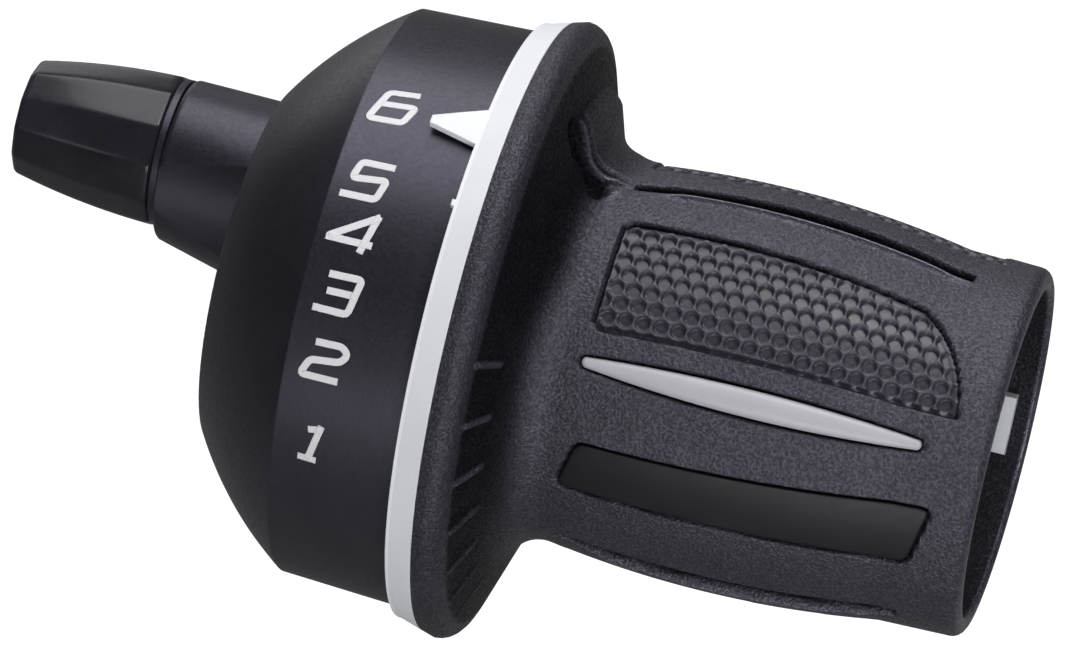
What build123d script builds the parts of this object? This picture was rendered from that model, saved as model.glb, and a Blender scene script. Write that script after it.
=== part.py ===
from build123d import *
import math
import os

# Twist shifter for the right-hand end of a bicycle handlebar, in millimetres.
# +X runs along the bar towards the grip's open end, +Y ahead of the bicycle and +Z up.
# x = 0 is the plane where the fixed housing ends and the turning indicator ring begins.
# A "view" angle is measured about the bar: 0 faces the rider's eye and positive turns upwards.
EYE_ANGLE = 135.0

# Handlebar and the tubes that nest on it
bar_dia = 22.2
bar_gap = 0.05
mandrel_wall = 1.75
run_gap = 0.07
rotor_wall = 1.93
bond_gap = 0.03
face_gap = 0.3

# Housing: numbered drum, cone and clamp collar
drum_len = 11.2
cone_len = 9.6
drum_wall = 1.75
drum_flare = 0.5
cone_wall = 2.4
cone_bulge = 0.72
nose_wall = 3.9
nose_rim = 5.05
nose_round = 0.8
collar_wall = 4.2

# Rotor: spool, detent rim, indicator ring and castellated end
spool_len = 9.4
spool_height = 7.4
spring_room = 1.9
cable_groove_x = -3.3
cable_groove_r = 0.9
cable_groove_depth = 1.8
head_pocket_r = 2.4
head_pocket_depth = 5.0
detent_rim_len = 3.8
ring_width = 2.2
ring_rise = 0.9
ring_flare = 0.65
pointer_len = 4.75
pointer_width = 4.2
pointer_tip = 0.8
pointer_lean = 0.5
pointer_view = 37.1
nib_view = 20.2
nib_size = 0.6
tab_count = 3
tab_angle = 22.0
tab_view = 169.5
tab_len = 3.6
lip_height = 0.5
lip_len = 1.3
lip_gap = 0.35

# Twist from the sixth to the first position, one angle for each numbered stop
stop_angles = (0.0, 17.3, 28.1, 40.2, 53.2, 71.0)

# Rubber grip
grip_end_x = 49.1
tab_setback = 1.75
flange_thick = 2.65
flange_rise = 0.3
flange_slope = 2.5
back_drop = 7.0
neck_x = 11.5
collar_x = 41.5
crown_x = 24.5
neck_skin = 2.55
crown_skin = 3.5
collar_skin = 2.05
end_skin = 1.85
lip_round = 1.1
core_rim_inset = 1.5
flange_skin = 0.88
rim_skin = 2.0
root_skin = 1.25
foot_setback = 2.0
rim_crown = 1.06
rim_bend_x = 0.58
rim_bend_r = 0.38
root_curve_x = 1.27
root_curve_r = 0.69

# Recesses in the rubber
panel_depth = 0.45
panel_view = 24.0
panel_start_x = 13.2
panel_end_x = 45.6
panel_half = 5.5
panel_shoulder_x = 40.5
panel_round = 0.7
panel_low_trim = 0.45
panel_shoulder_drop = 1.35
panel_top_drop = 0.15
panel_sweep_bulge = 1.0
panel_sweep_rise = 0.15
back_panel_views = (96.7, 174.0, 251.3)
back_panel_half = 7.2
inlay_view = -4.3
inlay_start_x = 12.8
inlay_end_x = 43.3
inlay_half = 1.55
inlay_lean = 0.2
inlay_round = 0.4
inlay_point = 1.85
inlay_margin = 0.25
inlay_depth = 0.75
inlay_sink = 0.05
plate_view = -34.0
plate_start_x = 13.1
plate_end_x = 44.6
plate_half = 2.7
plate_rake = 0.7
plate_taper = 0.25
plate_tilt = 0.5
plate_round = 0.6
plate_margin = 0.12
plate_depth = 0.8
plate_sink = 0.15
groove_views = (58.0, -70.0)
back_groove_views = (135.3, 212.7)
groove_start_x = 12.7
groove_end_x = 43.2
groove_half = 0.9
groove_end_half = 0.5
groove_depth = 0.9

# Raised forms on the back of the flange
rib_count = 7
rib_first_view = -8.0
rib_pitch = 12.1
rib_height = 0.45
rib_width = 0.6
rib_start = 0.2
rib_len = 5.1
rib_ramp = 0.45
pad_first_view = 54.0
pad_angle = 48.0
pad_height = 0.45
pad_reach = 0.34
pad_edge_rise = 0.3
pad_foot_rise = 0.2
pad_tail = 2.1

# Cable boss and adjuster, side by side with the bar
boss_inset = 7.27
boss_view = 154.0
boss_len = 12.8
boss_flare_len = 8.8
boss_tip_r = 7.53
boss_tip_drop = 0.49
boss_root_r = 8.54
boss_root_drop = 1.59
boss_root_near = 0.7
boss_round = 0.6
shank_r = 3.0
shank_len = 14.0
spring_well_r = 4.9
spring_well_depth = 6.0
cable_hole_r = 1.1
key_width = 1.2
key_reach = 0.8
key_len = 4.4
key_gap = 0.1
collar_gap = 0.1
adjuster_collar_len = 0.65
adjuster_collar_r = 6.9
knob_gap = 0.05
knob_len = 13.75
knob_base_r = 7.2
knob_mid_r = 6.7
knob_end_r = 5.55
knob_sides = 12
knob_round = 0.5
cable_socket_r = 2.6
cable_socket_depth = 9.0
wire_r = 0.35
wire_sides = 12
spring_turns = 5.0
spring_clear = 0.15

# Clamp screw, its nut and the cable cover with its screw
clamp_x = -14.3
clamp_angle = -118.0
clamp_screw_r = 2.5
clamp_screw_len = 9.0
clamp_tip_gap = 0.2
clamp_key_r = 1.45
clamp_key_depth = 2.5
nut_side = 7.0
nut_thick = 2.7
nut_gap = 0.05
nut_seat = 2.0
block_margin = 1.6
cover_angle = -72.0
cover_start_x = -15.5
cover_end_x = -2.2
cover_half = 7.0
cover_nose_half = 2.8
cover_shoulder_x = -9.8
cover_round = 1.0
cover_thick = 0.9
cover_gap = 0.08
cover_ledge = 0.9
cover_screw_x = -11.8
cover_cup_r = 2.45
cover_cup_floor = 1.0
cover_head_r = 1.85
cover_head_len = 0.9
cover_shank_r = 1.2
cover_shank_len = 6.5
post_r = 3.0
cross_len = 2.2
cross_width = 0.5
cross_depth = 0.5

# Detent leaf spring
leaf_angle = 90.0
leaf_thick = 0.4
leaf_width = 3.0
leaf_bite = 0.8
leaf_half_angle = 24.0
leaf_bend_angle = 5.0
leaf_stop_angle = 26.5
leaf_stop_width = 1.4
leaf_stop_height = 1.33
leaf_gap = 0.2
notch_clear = 0.35

# Radii that follow from the nested tubes
bore_r = bar_dia / 2 + bar_gap
mandrel_r = bore_r + mandrel_wall
rotor_bore_r = mandrel_r + run_gap
rotor_r = rotor_bore_r + rotor_wall
sleeve_bore_r = rotor_r + bond_gap
spool_r = rotor_r + spool_height
cavity_r = spool_r + spring_room
crease_r = cavity_r + drum_wall
drum_r = crease_r + drum_flare
nose_r = bore_r + nose_rim
collar_r = bore_r + collar_wall
ring_r = drum_r + ring_rise
ring_back_r = ring_r + ring_flare
flange_r = ring_back_r + flange_rise
core_rim_r = ring_back_r - core_rim_inset
boss_offset = crease_r - boss_inset

# Places along the bar that follow from the lengths
nose_x = -(drum_len + cone_len)
cavity_x = -(spool_len + 2 * face_gap)
hollow_x = nose_x + nose_wall
ring_back_x = face_gap + ring_width
flange_back_x = ring_back_x + flange_thick
root_x = flange_back_x + flange_slope
tab_end_x = grip_end_x - tab_setback
shoulder_x = tab_end_x - tab_len - lip_len - lip_gap
mandrel_end_x = shoulder_x + lip_gap + lip_len
boss_tip_x = nose_x - boss_len
well_floor_x = boss_tip_x + spring_well_depth
collar_front_x = boss_tip_x - collar_gap
knob_base_x = collar_front_x - adjuster_collar_len - knob_gap
knob_end_x = knob_base_x - knob_len
shank_end_x = knob_base_x + shank_len

# Radii of the rubber's outline
neck_r = sleeve_bore_r + neck_skin
crown_r = sleeve_bore_r + crown_skin
grip_collar_r = sleeve_bore_r + collar_skin
grip_end_r = sleeve_bore_r + end_skin
rim_back_r = flange_r - flange_slope / 2
root_r = rim_back_r - back_drop
root_curve = (root_x + root_curve_x, neck_r + root_curve_r)
tool_r = flange_r + boss_root_r


def direction(angle):
    """Unit vector square to the bar, at an angle from +Y towards +Z."""
    turn = math.radians(angle)
    return Vector(0, math.cos(turn), math.sin(turn))


def at_view(view):
    """Turn about the bar that brings +Y to a view angle."""
    return Rot(X=EYE_ANGLE - view)


def turned(*curves, arc=360.0):
    """Solid of revolution about the bar from a closed outline of length and radius."""
    return revolve(make_face(curves), Axis.X, revolution_arc=arc)


def outline(*points):
    """Closed straight-sided outline."""
    return Polyline(*points, close=True)


def tube(x0, x1, inner, outer):
    """Plain ring about the bar."""
    return turned(outline((x0, inner), (x1, inner), (x1, outer), (x0, outer)))


def plug(x0, x1, radius):
    """Plain cylinder on the bar's axis."""
    return turned(outline((x0, 0), (x1, 0), (x1, radius), (x0, radius)))


def radial_prism(face, angle, low, high):
    """Face drawn as (length, width), carried outwards along one radius."""
    out = direction(angle)
    plane = Plane(origin=out * low, x_dir=(1, 0, 0), z_dir=out)
    return extrude(plane * face, amount=high - low)


def radial_rod(x, angle, radius, low, high):
    """Round rod square to the bar."""
    return radial_prism(Pos(x, 0) * Circle(radius), angle, low, high)


def section(x, centre, radius):
    """Circle square to the bar, at a place beside it."""
    plane = Plane(origin=(x, centre.Y, centre.Z), x_dir=(0, 1, 0), z_dir=(1, 0, 0))
    return plane * Circle(radius)


def bar_side_rod(x0, x1, centre, radius):
    """Round rod that runs along the bar, beside it."""
    return extrude(section(x0, centre, radius), amount=x1 - x0)


def chord_r(x):
    """Radius of the straight line from the crease to the nose."""
    return crease_r + (x + drum_len) / cone_len * (crease_r - nose_r)


# Housing forms


def housing_body(inset=0.0):
    """Drum and bulged cone as one solid, drawn in by an inset."""
    across = Vector(nose_r - crease_r, cone_len).normalized() * cone_bulge
    middle = (-(drum_len + cone_len / 2) + across.X, (crease_r + nose_r) / 2 + across.Y - inset)
    crease = (-drum_len, crease_r - inset)
    nose = (nose_x, nose_r - inset)
    top = Polyline((nose_x, 0), (0, 0), (0, drum_r - inset), crease)
    return turned(top, ThreePointArc(crease, middle, nose), Line(nose, (nose_x, 0)))


eye_view = direction(EYE_ANGLE)
up_view = direction(EYE_ANGLE - 90)
boss_axis = direction(EYE_ANGLE - boss_view) * boss_offset


def boss_body():
    """Flared round boss that carries the cable in beside the bar."""
    tip = boss_axis - up_view * boss_tip_drop
    root = boss_axis - up_view * boss_root_drop + eye_view * boss_root_near
    root_x_boss = boss_tip_x + boss_flare_len
    flare = loft([section(boss_tip_x, tip, boss_tip_r), section(root_x_boss, root, boss_root_r)])
    flare = fillet(flare.edges().group_by(Axis.X)[0], boss_round)
    return flare + bar_side_rod(root_x_boss, cavity_x, root, boss_root_r)


def boss_bores():
    """Spring well with its two key slots, threaded hole and cable hole."""
    well = bar_side_rod(boss_tip_x, well_floor_x, boss_axis, spring_well_r)
    thread = bar_side_rod(boss_tip_x, shank_end_x + face_gap, boss_axis, shank_r + run_gap)
    hole = bar_side_rod(boss_tip_x, cavity_x + face_gap, boss_axis, cable_hole_r)
    return well + thread + hole + keys(key_gap, boss_tip_x, well_floor_x)


def keys(gap, start_x, end_x):
    """Two flat keys either side of the adjuster's axis, grown by a gap."""
    length = end_x - start_x
    reach = spring_well_r + key_reach + gap
    bar = Box(length, 2 * reach, key_width + 2 * gap)
    core = Rot(Y=90) * Cylinder(spring_well_r - key_reach, length)
    return Pos(start_x + length / 2, boss_axis.Y, boss_axis.Z) * (bar - core)


def cover_outline(shrink):
    """Cover seen square on: wide over the drum, narrow over the cone."""
    nose = cover_nose_half - shrink
    half = cover_half - shrink
    ends = (cover_start_x + shrink, cover_end_x - shrink)
    points = [(ends[0], nose), (cover_shoulder_x, half), (ends[1], half)]
    mirrored = [(x, -y) for x, y in reversed(points)]
    face = make_face(outline(*points, *mirrored))
    return fillet(face.vertices(), cover_round)


cup_low_r = spool_r + face_gap
cup_floor_r = cup_low_r + cover_cup_floor
clamp_low_r = bore_r + clamp_tip_gap
nut_low_r = bore_r + nut_seat


def nut_space(gap, end_x):
    """Square slot that the nut slides into from the open side of the housing."""
    half = nut_side / 2 + gap
    low = clamp_x - half
    face = Pos((low + end_x) / 2, 0) * Rectangle(end_x - low, 2 * half)
    return radial_prism(face, clamp_angle, nut_low_r - gap, nut_low_r + nut_thick + gap)


def housing():
    """Drum, cone, boss and mandrel as one moulding."""
    body = housing_body()
    body = fillet(body.edges().filter_by(GeomType.CIRCLE).group_by(Axis.X)[0], nose_round)
    cavity = plug(cavity_x, 0, cavity_r)
    wall_r = crease_r - cone_wall
    corners = [(cavity_x, collar_r), (cavity_x, wall_r), (-drum_len, wall_r)]
    corners += [(hollow_x, chord_r(hollow_x) - cone_wall), (hollow_x, collar_r)]
    block_side = nut_side + 2 * block_margin
    block_face = Pos(clamp_x, 0) * Rectangle(block_side, block_side)
    block = radial_prism(block_face, clamp_angle, bore_r, nut_low_r + nut_thick + block_margin)
    post = radial_rod(cover_screw_x, cover_angle, post_r, bore_r, cup_low_r - cover_gap)
    hollow = turned(outline(*corners)) - block - post - boss_body()
    body = body + boss_body() - cavity - hollow - boss_bores()
    mandrel = plug(cavity_x, mandrel_end_x, mandrel_r)
    lip_r = mandrel_r + lip_height
    lip = turned(outline(
        (shoulder_x + lip_gap, 0), (mandrel_end_x, 0), (mandrel_end_x, mandrel_r),
        (mandrel_end_x - lip_height, lip_r), (shoulder_x + lip_gap, lip_r)))
    body = body + mandrel + lip
    for side in (-1, 1):
        stop = Pos(0, cavity_r, 0) * Box(leaf_width, 2 * leaf_stop_height, leaf_stop_width)
        place = Pos(leaf_middle_x(), 0, 0) * Rot(X=leaf_angle + side * leaf_stop_angle)
        body = body + (place * stop & plug(cavity_x, -face_gap, cavity_r + drum_wall / 2))
    seat = housing_body(-drum_wall) - housing_body(cover_thick + cover_gap)
    body = body - (radial_prism(cover_outline(-cover_gap), cover_angle, bore_r, tool_r) & seat)
    window = radial_prism(cover_outline(cover_ledge), cover_angle, cup_low_r - cover_gap, tool_r)
    body = body - window
    body = body - radial_rod(cover_screw_x, cover_angle, cover_shank_r + bond_gap,
                             cup_floor_r - cover_shank_len, tool_r)
    body = body - radial_rod(clamp_x, clamp_angle, clamp_screw_r + run_gap, 0, tool_r)
    body = body - nut_space(nut_gap, cavity_x)
    body = body - plug(boss_tip_x - face_gap, nose_x, bore_r + face_gap)
    return body - plug(nose_x - face_gap, mandrel_end_x + face_gap, bore_r)


# Cable cover and fasteners


def cable_cover():
    """Curved cover with a cup for its screw, flush with the drum and cone."""
    skin = housing_body() - housing_body(cover_thick)
    cover = radial_prism(cover_outline(0), cover_angle, bore_r, tool_r) & skin
    cup = radial_rod(cover_screw_x, cover_angle, cover_cup_r, cup_low_r, tool_r) & housing_body()
    head_space = radial_rod(cover_screw_x, cover_angle, cover_head_r + cover_gap, cup_floor_r, tool_r)
    hole = radial_rod(cover_screw_x, cover_angle, cover_shank_r + cover_gap, 0, tool_r)
    return cover + cup - head_space - hole


def cover_screw():
    """Small cross-head screw, its head down in the cover's cup."""
    head_r = cup_floor_r + bond_gap
    top = head_r + cover_head_len
    head = radial_rod(cover_screw_x, cover_angle, cover_head_r, head_r, top)
    shank = radial_rod(cover_screw_x, cover_angle, cover_shank_r,
                       cup_floor_r - cover_shank_len + face_gap, head_r)
    cross = Rectangle(cross_len, cross_width) + Rectangle(cross_width, cross_len)
    return head + shank - radial_prism(Pos(cover_screw_x, 0) * cross, cover_angle, top - cross_depth, top)


def clamp_screw():
    """Socket set screw that bears on the bar."""
    top = clamp_low_r + clamp_screw_len
    socket = Pos(clamp_x, 0) * RegularPolygon(clamp_key_r, 6)
    screw = radial_rod(clamp_x, clamp_angle, clamp_screw_r, clamp_low_r, top)
    return screw - radial_prism(socket, clamp_angle, top - clamp_key_depth, top)


def clamp_nut():
    """Square nut in the housing's slot."""
    face = Pos(clamp_x, 0) * (Rectangle(nut_side, nut_side) - Circle(clamp_screw_r + bond_gap))
    return radial_prism(face, clamp_angle, nut_low_r, nut_low_r + nut_thick)


# Detent spring


def leaf_middle_x():
    """Middle of the detent rim, where the leaf bears."""
    return -spool_len + detent_rim_len / 2


def around(radius, angle):
    """Point in the plane square to the bar, as (Y, Z)."""
    turn = math.radians(angle)
    return (radius * math.cos(turn), radius * math.sin(turn))


def detent_spring():
    """Leaf with a V in its middle, its ends under the drum's wall."""
    end_r = cavity_r - leaf_gap - leaf_thick
    bend_r = spool_r + leaf_bite + face_gap / 2
    tip_r = spool_r - leaf_bite
    stations = [(end_r, -leaf_half_angle), (bend_r, -leaf_bend_angle), (tip_r, 0)]
    stations += [(bend_r, leaf_bend_angle), (end_r, leaf_half_angle)]
    lower = [around(radius, angle) for radius, angle in stations]
    upper = [around(radius + leaf_thick, angle) for radius, angle in reversed(stations)]
    plane = Plane(origin=(leaf_middle_x() - leaf_width / 2, 0, 0), x_dir=(0, 1, 0), z_dir=(1, 0, 0))
    leaf = extrude(plane * make_face(outline(*lower, *upper)), amount=leaf_width)
    return Rot(X=leaf_angle) * leaf


def notch():
    """V cut in the detent rim that the leaf's V drops into."""
    depth = leaf_bite + notch_clear
    share = leaf_bite / (2 * leaf_bite + face_gap / 2)
    half = spool_r * math.sin(math.radians(leaf_bend_angle)) * share + notch_clear
    rise = face_gap
    wide = half * (depth + rise) / depth
    points = [(spool_r - depth, 0), (spool_r + rise, wide), (spool_r + rise, -wide)]
    plane = Plane(origin=(-spool_len - face_gap, 0, 0), x_dir=(0, 1, 0), z_dir=(1, 0, 0))
    return extrude(plane * make_face(outline(*points)), amount=detent_rim_len + face_gap)


# Rotor


def core_line(gap):
    """Outside of the rotor behind its ring, which the rubber is moulded on."""
    return [(ring_back_x, core_rim_r + gap), (flange_back_x - flange_skin + gap, rim_back_r - rim_skin),
            (root_x - root_skin + gap, root_r), (neck_x - foot_setback + gap, rotor_r + gap)]


def pointer():
    """Raised pointer on the ring, over the drum but clear of it."""
    back = face_gap + ring_width / 2
    tip = -pointer_len + face_gap
    half = pointer_width / 2
    points = [(back, half), (face_gap, half), (tip, pointer_tip / 2 - pointer_lean),
              (tip, -pointer_tip / 2 - pointer_lean), (face_gap, -half), (back, -half)]
    plan = radial_prism(make_face(outline(*points)), EYE_ANGLE - pointer_view, bore_r, tool_r)
    return plan & tube(tip, back, drum_r + face_gap, ring_r)


def ring_nib():
    """Small moulding nib on the ring's edge beside the pointer."""
    plan = radial_prism(Rectangle(nib_size, nib_size), EYE_ANGLE - nib_view, bore_r, tool_r)
    return plan & tube(-nib_size, nib_size, drum_r + face_gap, ring_r)


def rotor():
    """Spool, indicator ring and grip tube as one white moulding."""
    points = [(-spool_len, 0), (-spool_len, spool_r), (face_gap, spool_r), (face_gap, ring_r)]
    points += [(ring_back_x, ring_back_r), *core_line(0), (tab_end_x, rotor_r), (tab_end_x, 0)]
    lip = tube(0, 2 * face_gap, drum_r + face_gap, ring_r)
    body = turned(outline(*points)) + lip + pointer() + ring_nib()
    groove = tube(cable_groove_x - cable_groove_r, cable_groove_x + cable_groove_r,
                  spool_r - cable_groove_depth, spool_r + face_gap)
    body = body - groove
    body = body - radial_rod(cable_groove_x, cover_angle, head_pocket_r,
                             spool_r - head_pocket_depth, spool_r + face_gap)
    for stop in stop_angles:
        body = body - Rot(X=leaf_angle - stop) * notch()
    body = body - plug(-spool_len - face_gap, tab_end_x + face_gap, rotor_bore_r)
    body = body - plug(shoulder_x, tab_end_x + face_gap, mandrel_r + lip_height + lip_gap)
    gap_angle = 360 / tab_count - tab_angle
    space = outline((tab_end_x - tab_len, 0), (tab_end_x + face_gap, 0),
                    (tab_end_x + face_gap, sleeve_bore_r), (tab_end_x - tab_len, sleeve_bore_r))
    for index in range(tab_count):
        turn = EYE_ANGLE - tab_view + tab_angle / 2 + index * 360 / tab_count
        body = body - Rot(X=turn) * turned(space, arc=gap_angle)
    return body


# Rubber grip and what is let into it


def barrel_curves(offset):
    """Crowned barrel and straight end collar, moved in or out by an offset."""
    neck = (neck_x, neck_r + offset)
    collar = (collar_x, grip_collar_r + offset)
    end = (grip_end_x - lip_round, grip_end_r + offset)
    return [ThreePointArc(neck, (crown_x, crown_r + offset), collar), Line(collar, end)]


def barrel_band(view, low, high):
    """Quarter of a skin on the barrel, between two depths, about a view angle."""
    below = barrel_curves(low)
    above = barrel_curves(high)
    sides = [Line(below[0] @ 0, above[0] @ 0), Line(below[1] @ 1, above[1] @ 1)]
    return Rot(X=EYE_ANGLE - view - 45) * turned(*below, *above, *sides, arc=90)


def in_rubber(face, view, low, high):
    """Face drawn on the barrel, as a solid between two depths of its skin."""
    return radial_prism(face, EYE_ANGLE - view, 0, tool_r) & barrel_band(view, low, high)


def panel_face(half):
    """Dimple panel: square at the flange end, swept round at the other."""
    corner = (panel_start_x, -half)
    low_end = (panel_end_x, panel_low_trim - half)
    shoulder = (panel_shoulder_x, half - panel_shoulder_drop)
    top = (panel_start_x, half - panel_top_drop)
    sweep_point = ((panel_end_x + panel_shoulder_x) / 2 + panel_sweep_bulge, panel_sweep_rise)
    crown = ((panel_start_x + panel_shoulder_x) / 2, half)
    face = make_face([Line(corner, low_end), ThreePointArc(low_end, sweep_point, shoulder),
                      ThreePointArc(shoulder, crown, top), Line(top, corner)])
    return fillet(face.vertices(), panel_round)


def inlay_face(margin):
    """Slim spear with blunt tips, fuller below its axis and grown by a margin."""
    point = inlay_point * (1 + margin / inlay_round) + margin
    start = (inlay_start_x - point, 0)
    end = (inlay_end_x + point, 0)
    upper = ThreePointArc(start, (crown_x, inlay_half - inlay_lean + margin), end)
    lower = ThreePointArc(start, (crown_x, -inlay_half - inlay_lean - margin), end)
    return fillet(make_face([upper, lower]).vertices(), inlay_round + margin)


def plate_face(margin):
    """Raked plate, a little taller and higher at the grip's end."""
    low = plate_half - plate_taper + margin
    high = plate_half + plate_taper + margin
    start = plate_start_x - margin
    end = plate_end_x + margin
    points = [(start + plate_rake, low - plate_tilt), (end + plate_rake, high + plate_tilt),
              (end - plate_rake, plate_tilt - high), (start - plate_rake, -low - plate_tilt)]
    return fillet(make_face(outline(*points)).vertices(), plate_round)


def groove_face():
    """Long groove, pointed at the flange end and blunt at the other."""
    start = (groove_start_x, 0)
    top = (groove_end_x, groove_end_half)
    bottom = (groove_end_x, -groove_end_half)
    return make_face([ThreePointArc(start, (crown_x, groove_half), top), Line(top, bottom),
                      ThreePointArc(bottom, (crown_x, -groove_half), start)])


def flange_rib(view):
    """Short raised rib on the back of the flange."""
    rim = Vector(flange_back_x, rim_back_r)
    root = Vector(root_x, root_r)
    along = (root - rim).normalized()
    out = Vector(-along.Y, along.X) * rib_height
    outer = rim + along * rib_start
    inner = outer + along * rib_len
    points = [outer - out, outer + along * rib_ramp + out, inner - along * rib_ramp + out, inner - out]
    rib = extrude(make_face(outline(*[(p.X, p.Y) for p in points])), amount=rib_width / 2, both=True)
    return at_view(view) * rib


def flange_pad():
    """Raised pad from the flange's back down to the barrel, above the long groove."""
    top_r = root_r + back_drop * pad_reach
    top_x = root_x - flange_slope * pad_reach
    front = [(top_x - pad_height, top_r), (top_x + pad_edge_rise, top_r), (root_x + pad_height, root_r)]
    middle = (root_curve[0] + pad_height, root_curve[1] + pad_height / 2)
    foot = (neck_x + pad_height, neck_r + pad_foot_rise)
    below = neck_r - pad_height
    tail = Polyline(foot, (neck_x + pad_tail, below), (top_x - pad_height, below), front[0])
    sides = [Polyline(*front), ThreePointArc(front[-1], middle, foot), tail]
    start = EYE_ANGLE - pad_first_view - pad_angle
    return Rot(X=start) * turned(*sides, arc=pad_angle)


def grip_sleeve():
    """Rubber flange and barrel, with its panels, grooves and recesses."""
    rim = (ring_back_x + bond_gap, ring_back_r)
    rim_top = (ring_back_x + rim_crown, flange_r)
    rim_bend = (flange_back_x - rim_bend_x, flange_r - rim_bend_r)
    rim_back = (flange_back_x, rim_back_r)
    root = (root_x, root_r)
    neck = (neck_x, neck_r)
    end = (grip_end_x - lip_round, grip_end_r)
    lip = (grip_end_x, grip_end_r - lip_round)
    lip_bend = lip_round * math.sqrt(0.5)
    lip_mid = (end[0] + lip_bend, lip[1] + lip_bend)
    foot = (ring_back_x + bond_gap, 0)
    curves = [Line(rim, rim_top), ThreePointArc(rim_top, rim_bend, rim_back), Line(rim_back, root)]
    curves += [ThreePointArc(root, root_curve, neck), *barrel_curves(0)]
    curves += [ThreePointArc(end, lip_mid, lip), Polyline(lip, (grip_end_x, 0), foot, rim)]
    body = turned(*curves)
    for index in range(rib_count):
        body = body + flange_rib(rib_first_view - index * rib_pitch)
    core = [(ring_back_x, 0), *core_line(bond_gap)]
    core += [(grip_end_x + bond_gap, sleeve_bore_r), (grip_end_x + bond_gap, 0)]
    body = body + flange_pad() - turned(outline(*core))
    body = body - in_rubber(panel_face(panel_half), panel_view, -panel_depth, neck_skin)
    for view in back_panel_views:
        body = body - in_rubber(panel_face(back_panel_half), view, -panel_depth, neck_skin)
    for view in (*groove_views, *back_groove_views):
        body = body - in_rubber(groove_face(), view, -groove_depth, neck_skin)
    body = body - in_rubber(inlay_face(inlay_margin), inlay_view, -inlay_depth, neck_skin)
    return body - in_rubber(plate_face(plate_margin), plate_view, -plate_depth, neck_skin)


def grip_inlay():
    """Grey spear, its face just under the rubber's."""
    return in_rubber(inlay_face(0), inlay_view, bond_gap - inlay_depth, -inlay_sink)


def grip_plate():
    """Gloss plate, its face a little under the rubber's."""
    return in_rubber(plate_face(0), plate_view, bond_gap - plate_depth, -plate_sink)


# Cable adjuster


def knob_section(x, radius):
    """Many-sided section of the adjuster's knob."""
    plane = Plane(origin=(x, boss_axis.Y, boss_axis.Z), x_dir=(0, 1, 0), z_dir=(1, 0, 0))
    return plane * RegularPolygon(radius, knob_sides)


def adjuster_knob():
    """Tapered knob with shallow flats, a threaded shank and the cable's socket."""
    middle_x = (knob_base_x + knob_end_x) / 2
    sections = [knob_section(knob_base_x, knob_base_r), knob_section(middle_x, knob_mid_r),
                knob_section(knob_end_x, knob_end_r)]
    knob = loft(sections)
    knob = fillet(knob.edges().group_by(Axis.X)[0], knob_round)
    knob = knob + bar_side_rod(knob_base_x, shank_end_x, boss_axis, shank_r)
    knob = knob - bar_side_rod(knob_end_x, knob_end_x + cable_socket_depth, boss_axis, cable_socket_r)
    return knob - bar_side_rod(knob_end_x, shank_end_x, boss_axis, cable_hole_r)


def adjuster_collar():
    """Thin ring behind the knob, with two keys that slide in the boss."""
    back_x = collar_front_x - adjuster_collar_len
    ring = bar_side_rod(back_x, collar_front_x, boss_axis, adjuster_collar_r)
    ring = ring + keys(0, back_x, boss_tip_x + key_len)
    return ring - bar_side_rod(back_x, collar_front_x, boss_axis, shank_r + run_gap)


def adjuster_spring():
    """Coil spring between the collar and the floor of the spring well."""
    length = well_floor_x - collar_front_x - 2 * (wire_r + spring_clear)
    mean_r = (shank_r + run_gap + spring_well_r - key_reach) / 2
    path = Helix(pitch=length / spring_turns, height=length, radius=mean_r)
    start = Plane(origin=path @ 0, z_dir=path % 0)
    coil = sweep(start * RegularPolygon(wire_r, wire_sides), path=path)
    return Pos(collar_front_x + wire_r + spring_clear, boss_axis.Y, boss_axis.Z) * Rot(Y=90) * coil


PIECES = {
    "housing": housing,
    "cable_cover": cable_cover,
    "cover_screw": cover_screw,
    "clamp_screw": clamp_screw,
    "clamp_nut": clamp_nut,
    "detent_spring": detent_spring,
    "rotor": rotor,
    "grip_sleeve": grip_sleeve,
    "grip_inlay": grip_inlay,
    "grip_plate": grip_plate,
    "adjuster_knob": adjuster_knob,
    "adjuster_collar": adjuster_collar,
    "adjuster_spring": adjuster_spring,
}

os.makedirs("parts", exist_ok=True)
for name, make in PIECES.items():
    export_step(make(), os.path.join("parts", name + ".step"))
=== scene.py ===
from math import atan2, copysign, cos, pi, radians, sin, sqrt, tau

import bmesh
import bpy
import numpy as np
from bpy.props import FloatProperty, FloatVectorProperty, IntProperty, PointerProperty
from bpy.types import Operator, Panel, PropertyGroup
from mathutils import Matrix, Vector


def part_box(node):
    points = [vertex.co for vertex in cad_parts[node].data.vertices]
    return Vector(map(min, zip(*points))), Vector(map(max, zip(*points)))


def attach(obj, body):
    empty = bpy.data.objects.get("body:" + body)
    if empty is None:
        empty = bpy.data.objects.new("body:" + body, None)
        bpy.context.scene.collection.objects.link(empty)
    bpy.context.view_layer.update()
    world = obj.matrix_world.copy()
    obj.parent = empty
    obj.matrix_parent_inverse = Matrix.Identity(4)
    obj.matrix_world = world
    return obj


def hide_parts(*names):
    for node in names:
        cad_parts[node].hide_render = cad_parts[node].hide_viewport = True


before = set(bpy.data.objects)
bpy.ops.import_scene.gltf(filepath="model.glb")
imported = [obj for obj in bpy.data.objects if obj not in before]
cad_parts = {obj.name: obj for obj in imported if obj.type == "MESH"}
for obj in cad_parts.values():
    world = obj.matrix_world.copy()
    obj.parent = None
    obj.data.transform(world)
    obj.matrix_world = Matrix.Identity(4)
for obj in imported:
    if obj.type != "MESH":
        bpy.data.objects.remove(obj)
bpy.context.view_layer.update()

bl_info = {
    "name": "Twist shifter looks",
    "version": (1, 0, 0),
    "blender": (4, 5, 0),
    "location": "View3D > Sidebar > Shifter",
    "description": "Dresses the twist shifter: grained rubber, dimple panels, numerals, gloss parts and a studio",
    "category": "Object",
}

# Lengths in the code are millimetres, and meshes are written in metres.
MM = 0.001

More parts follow.
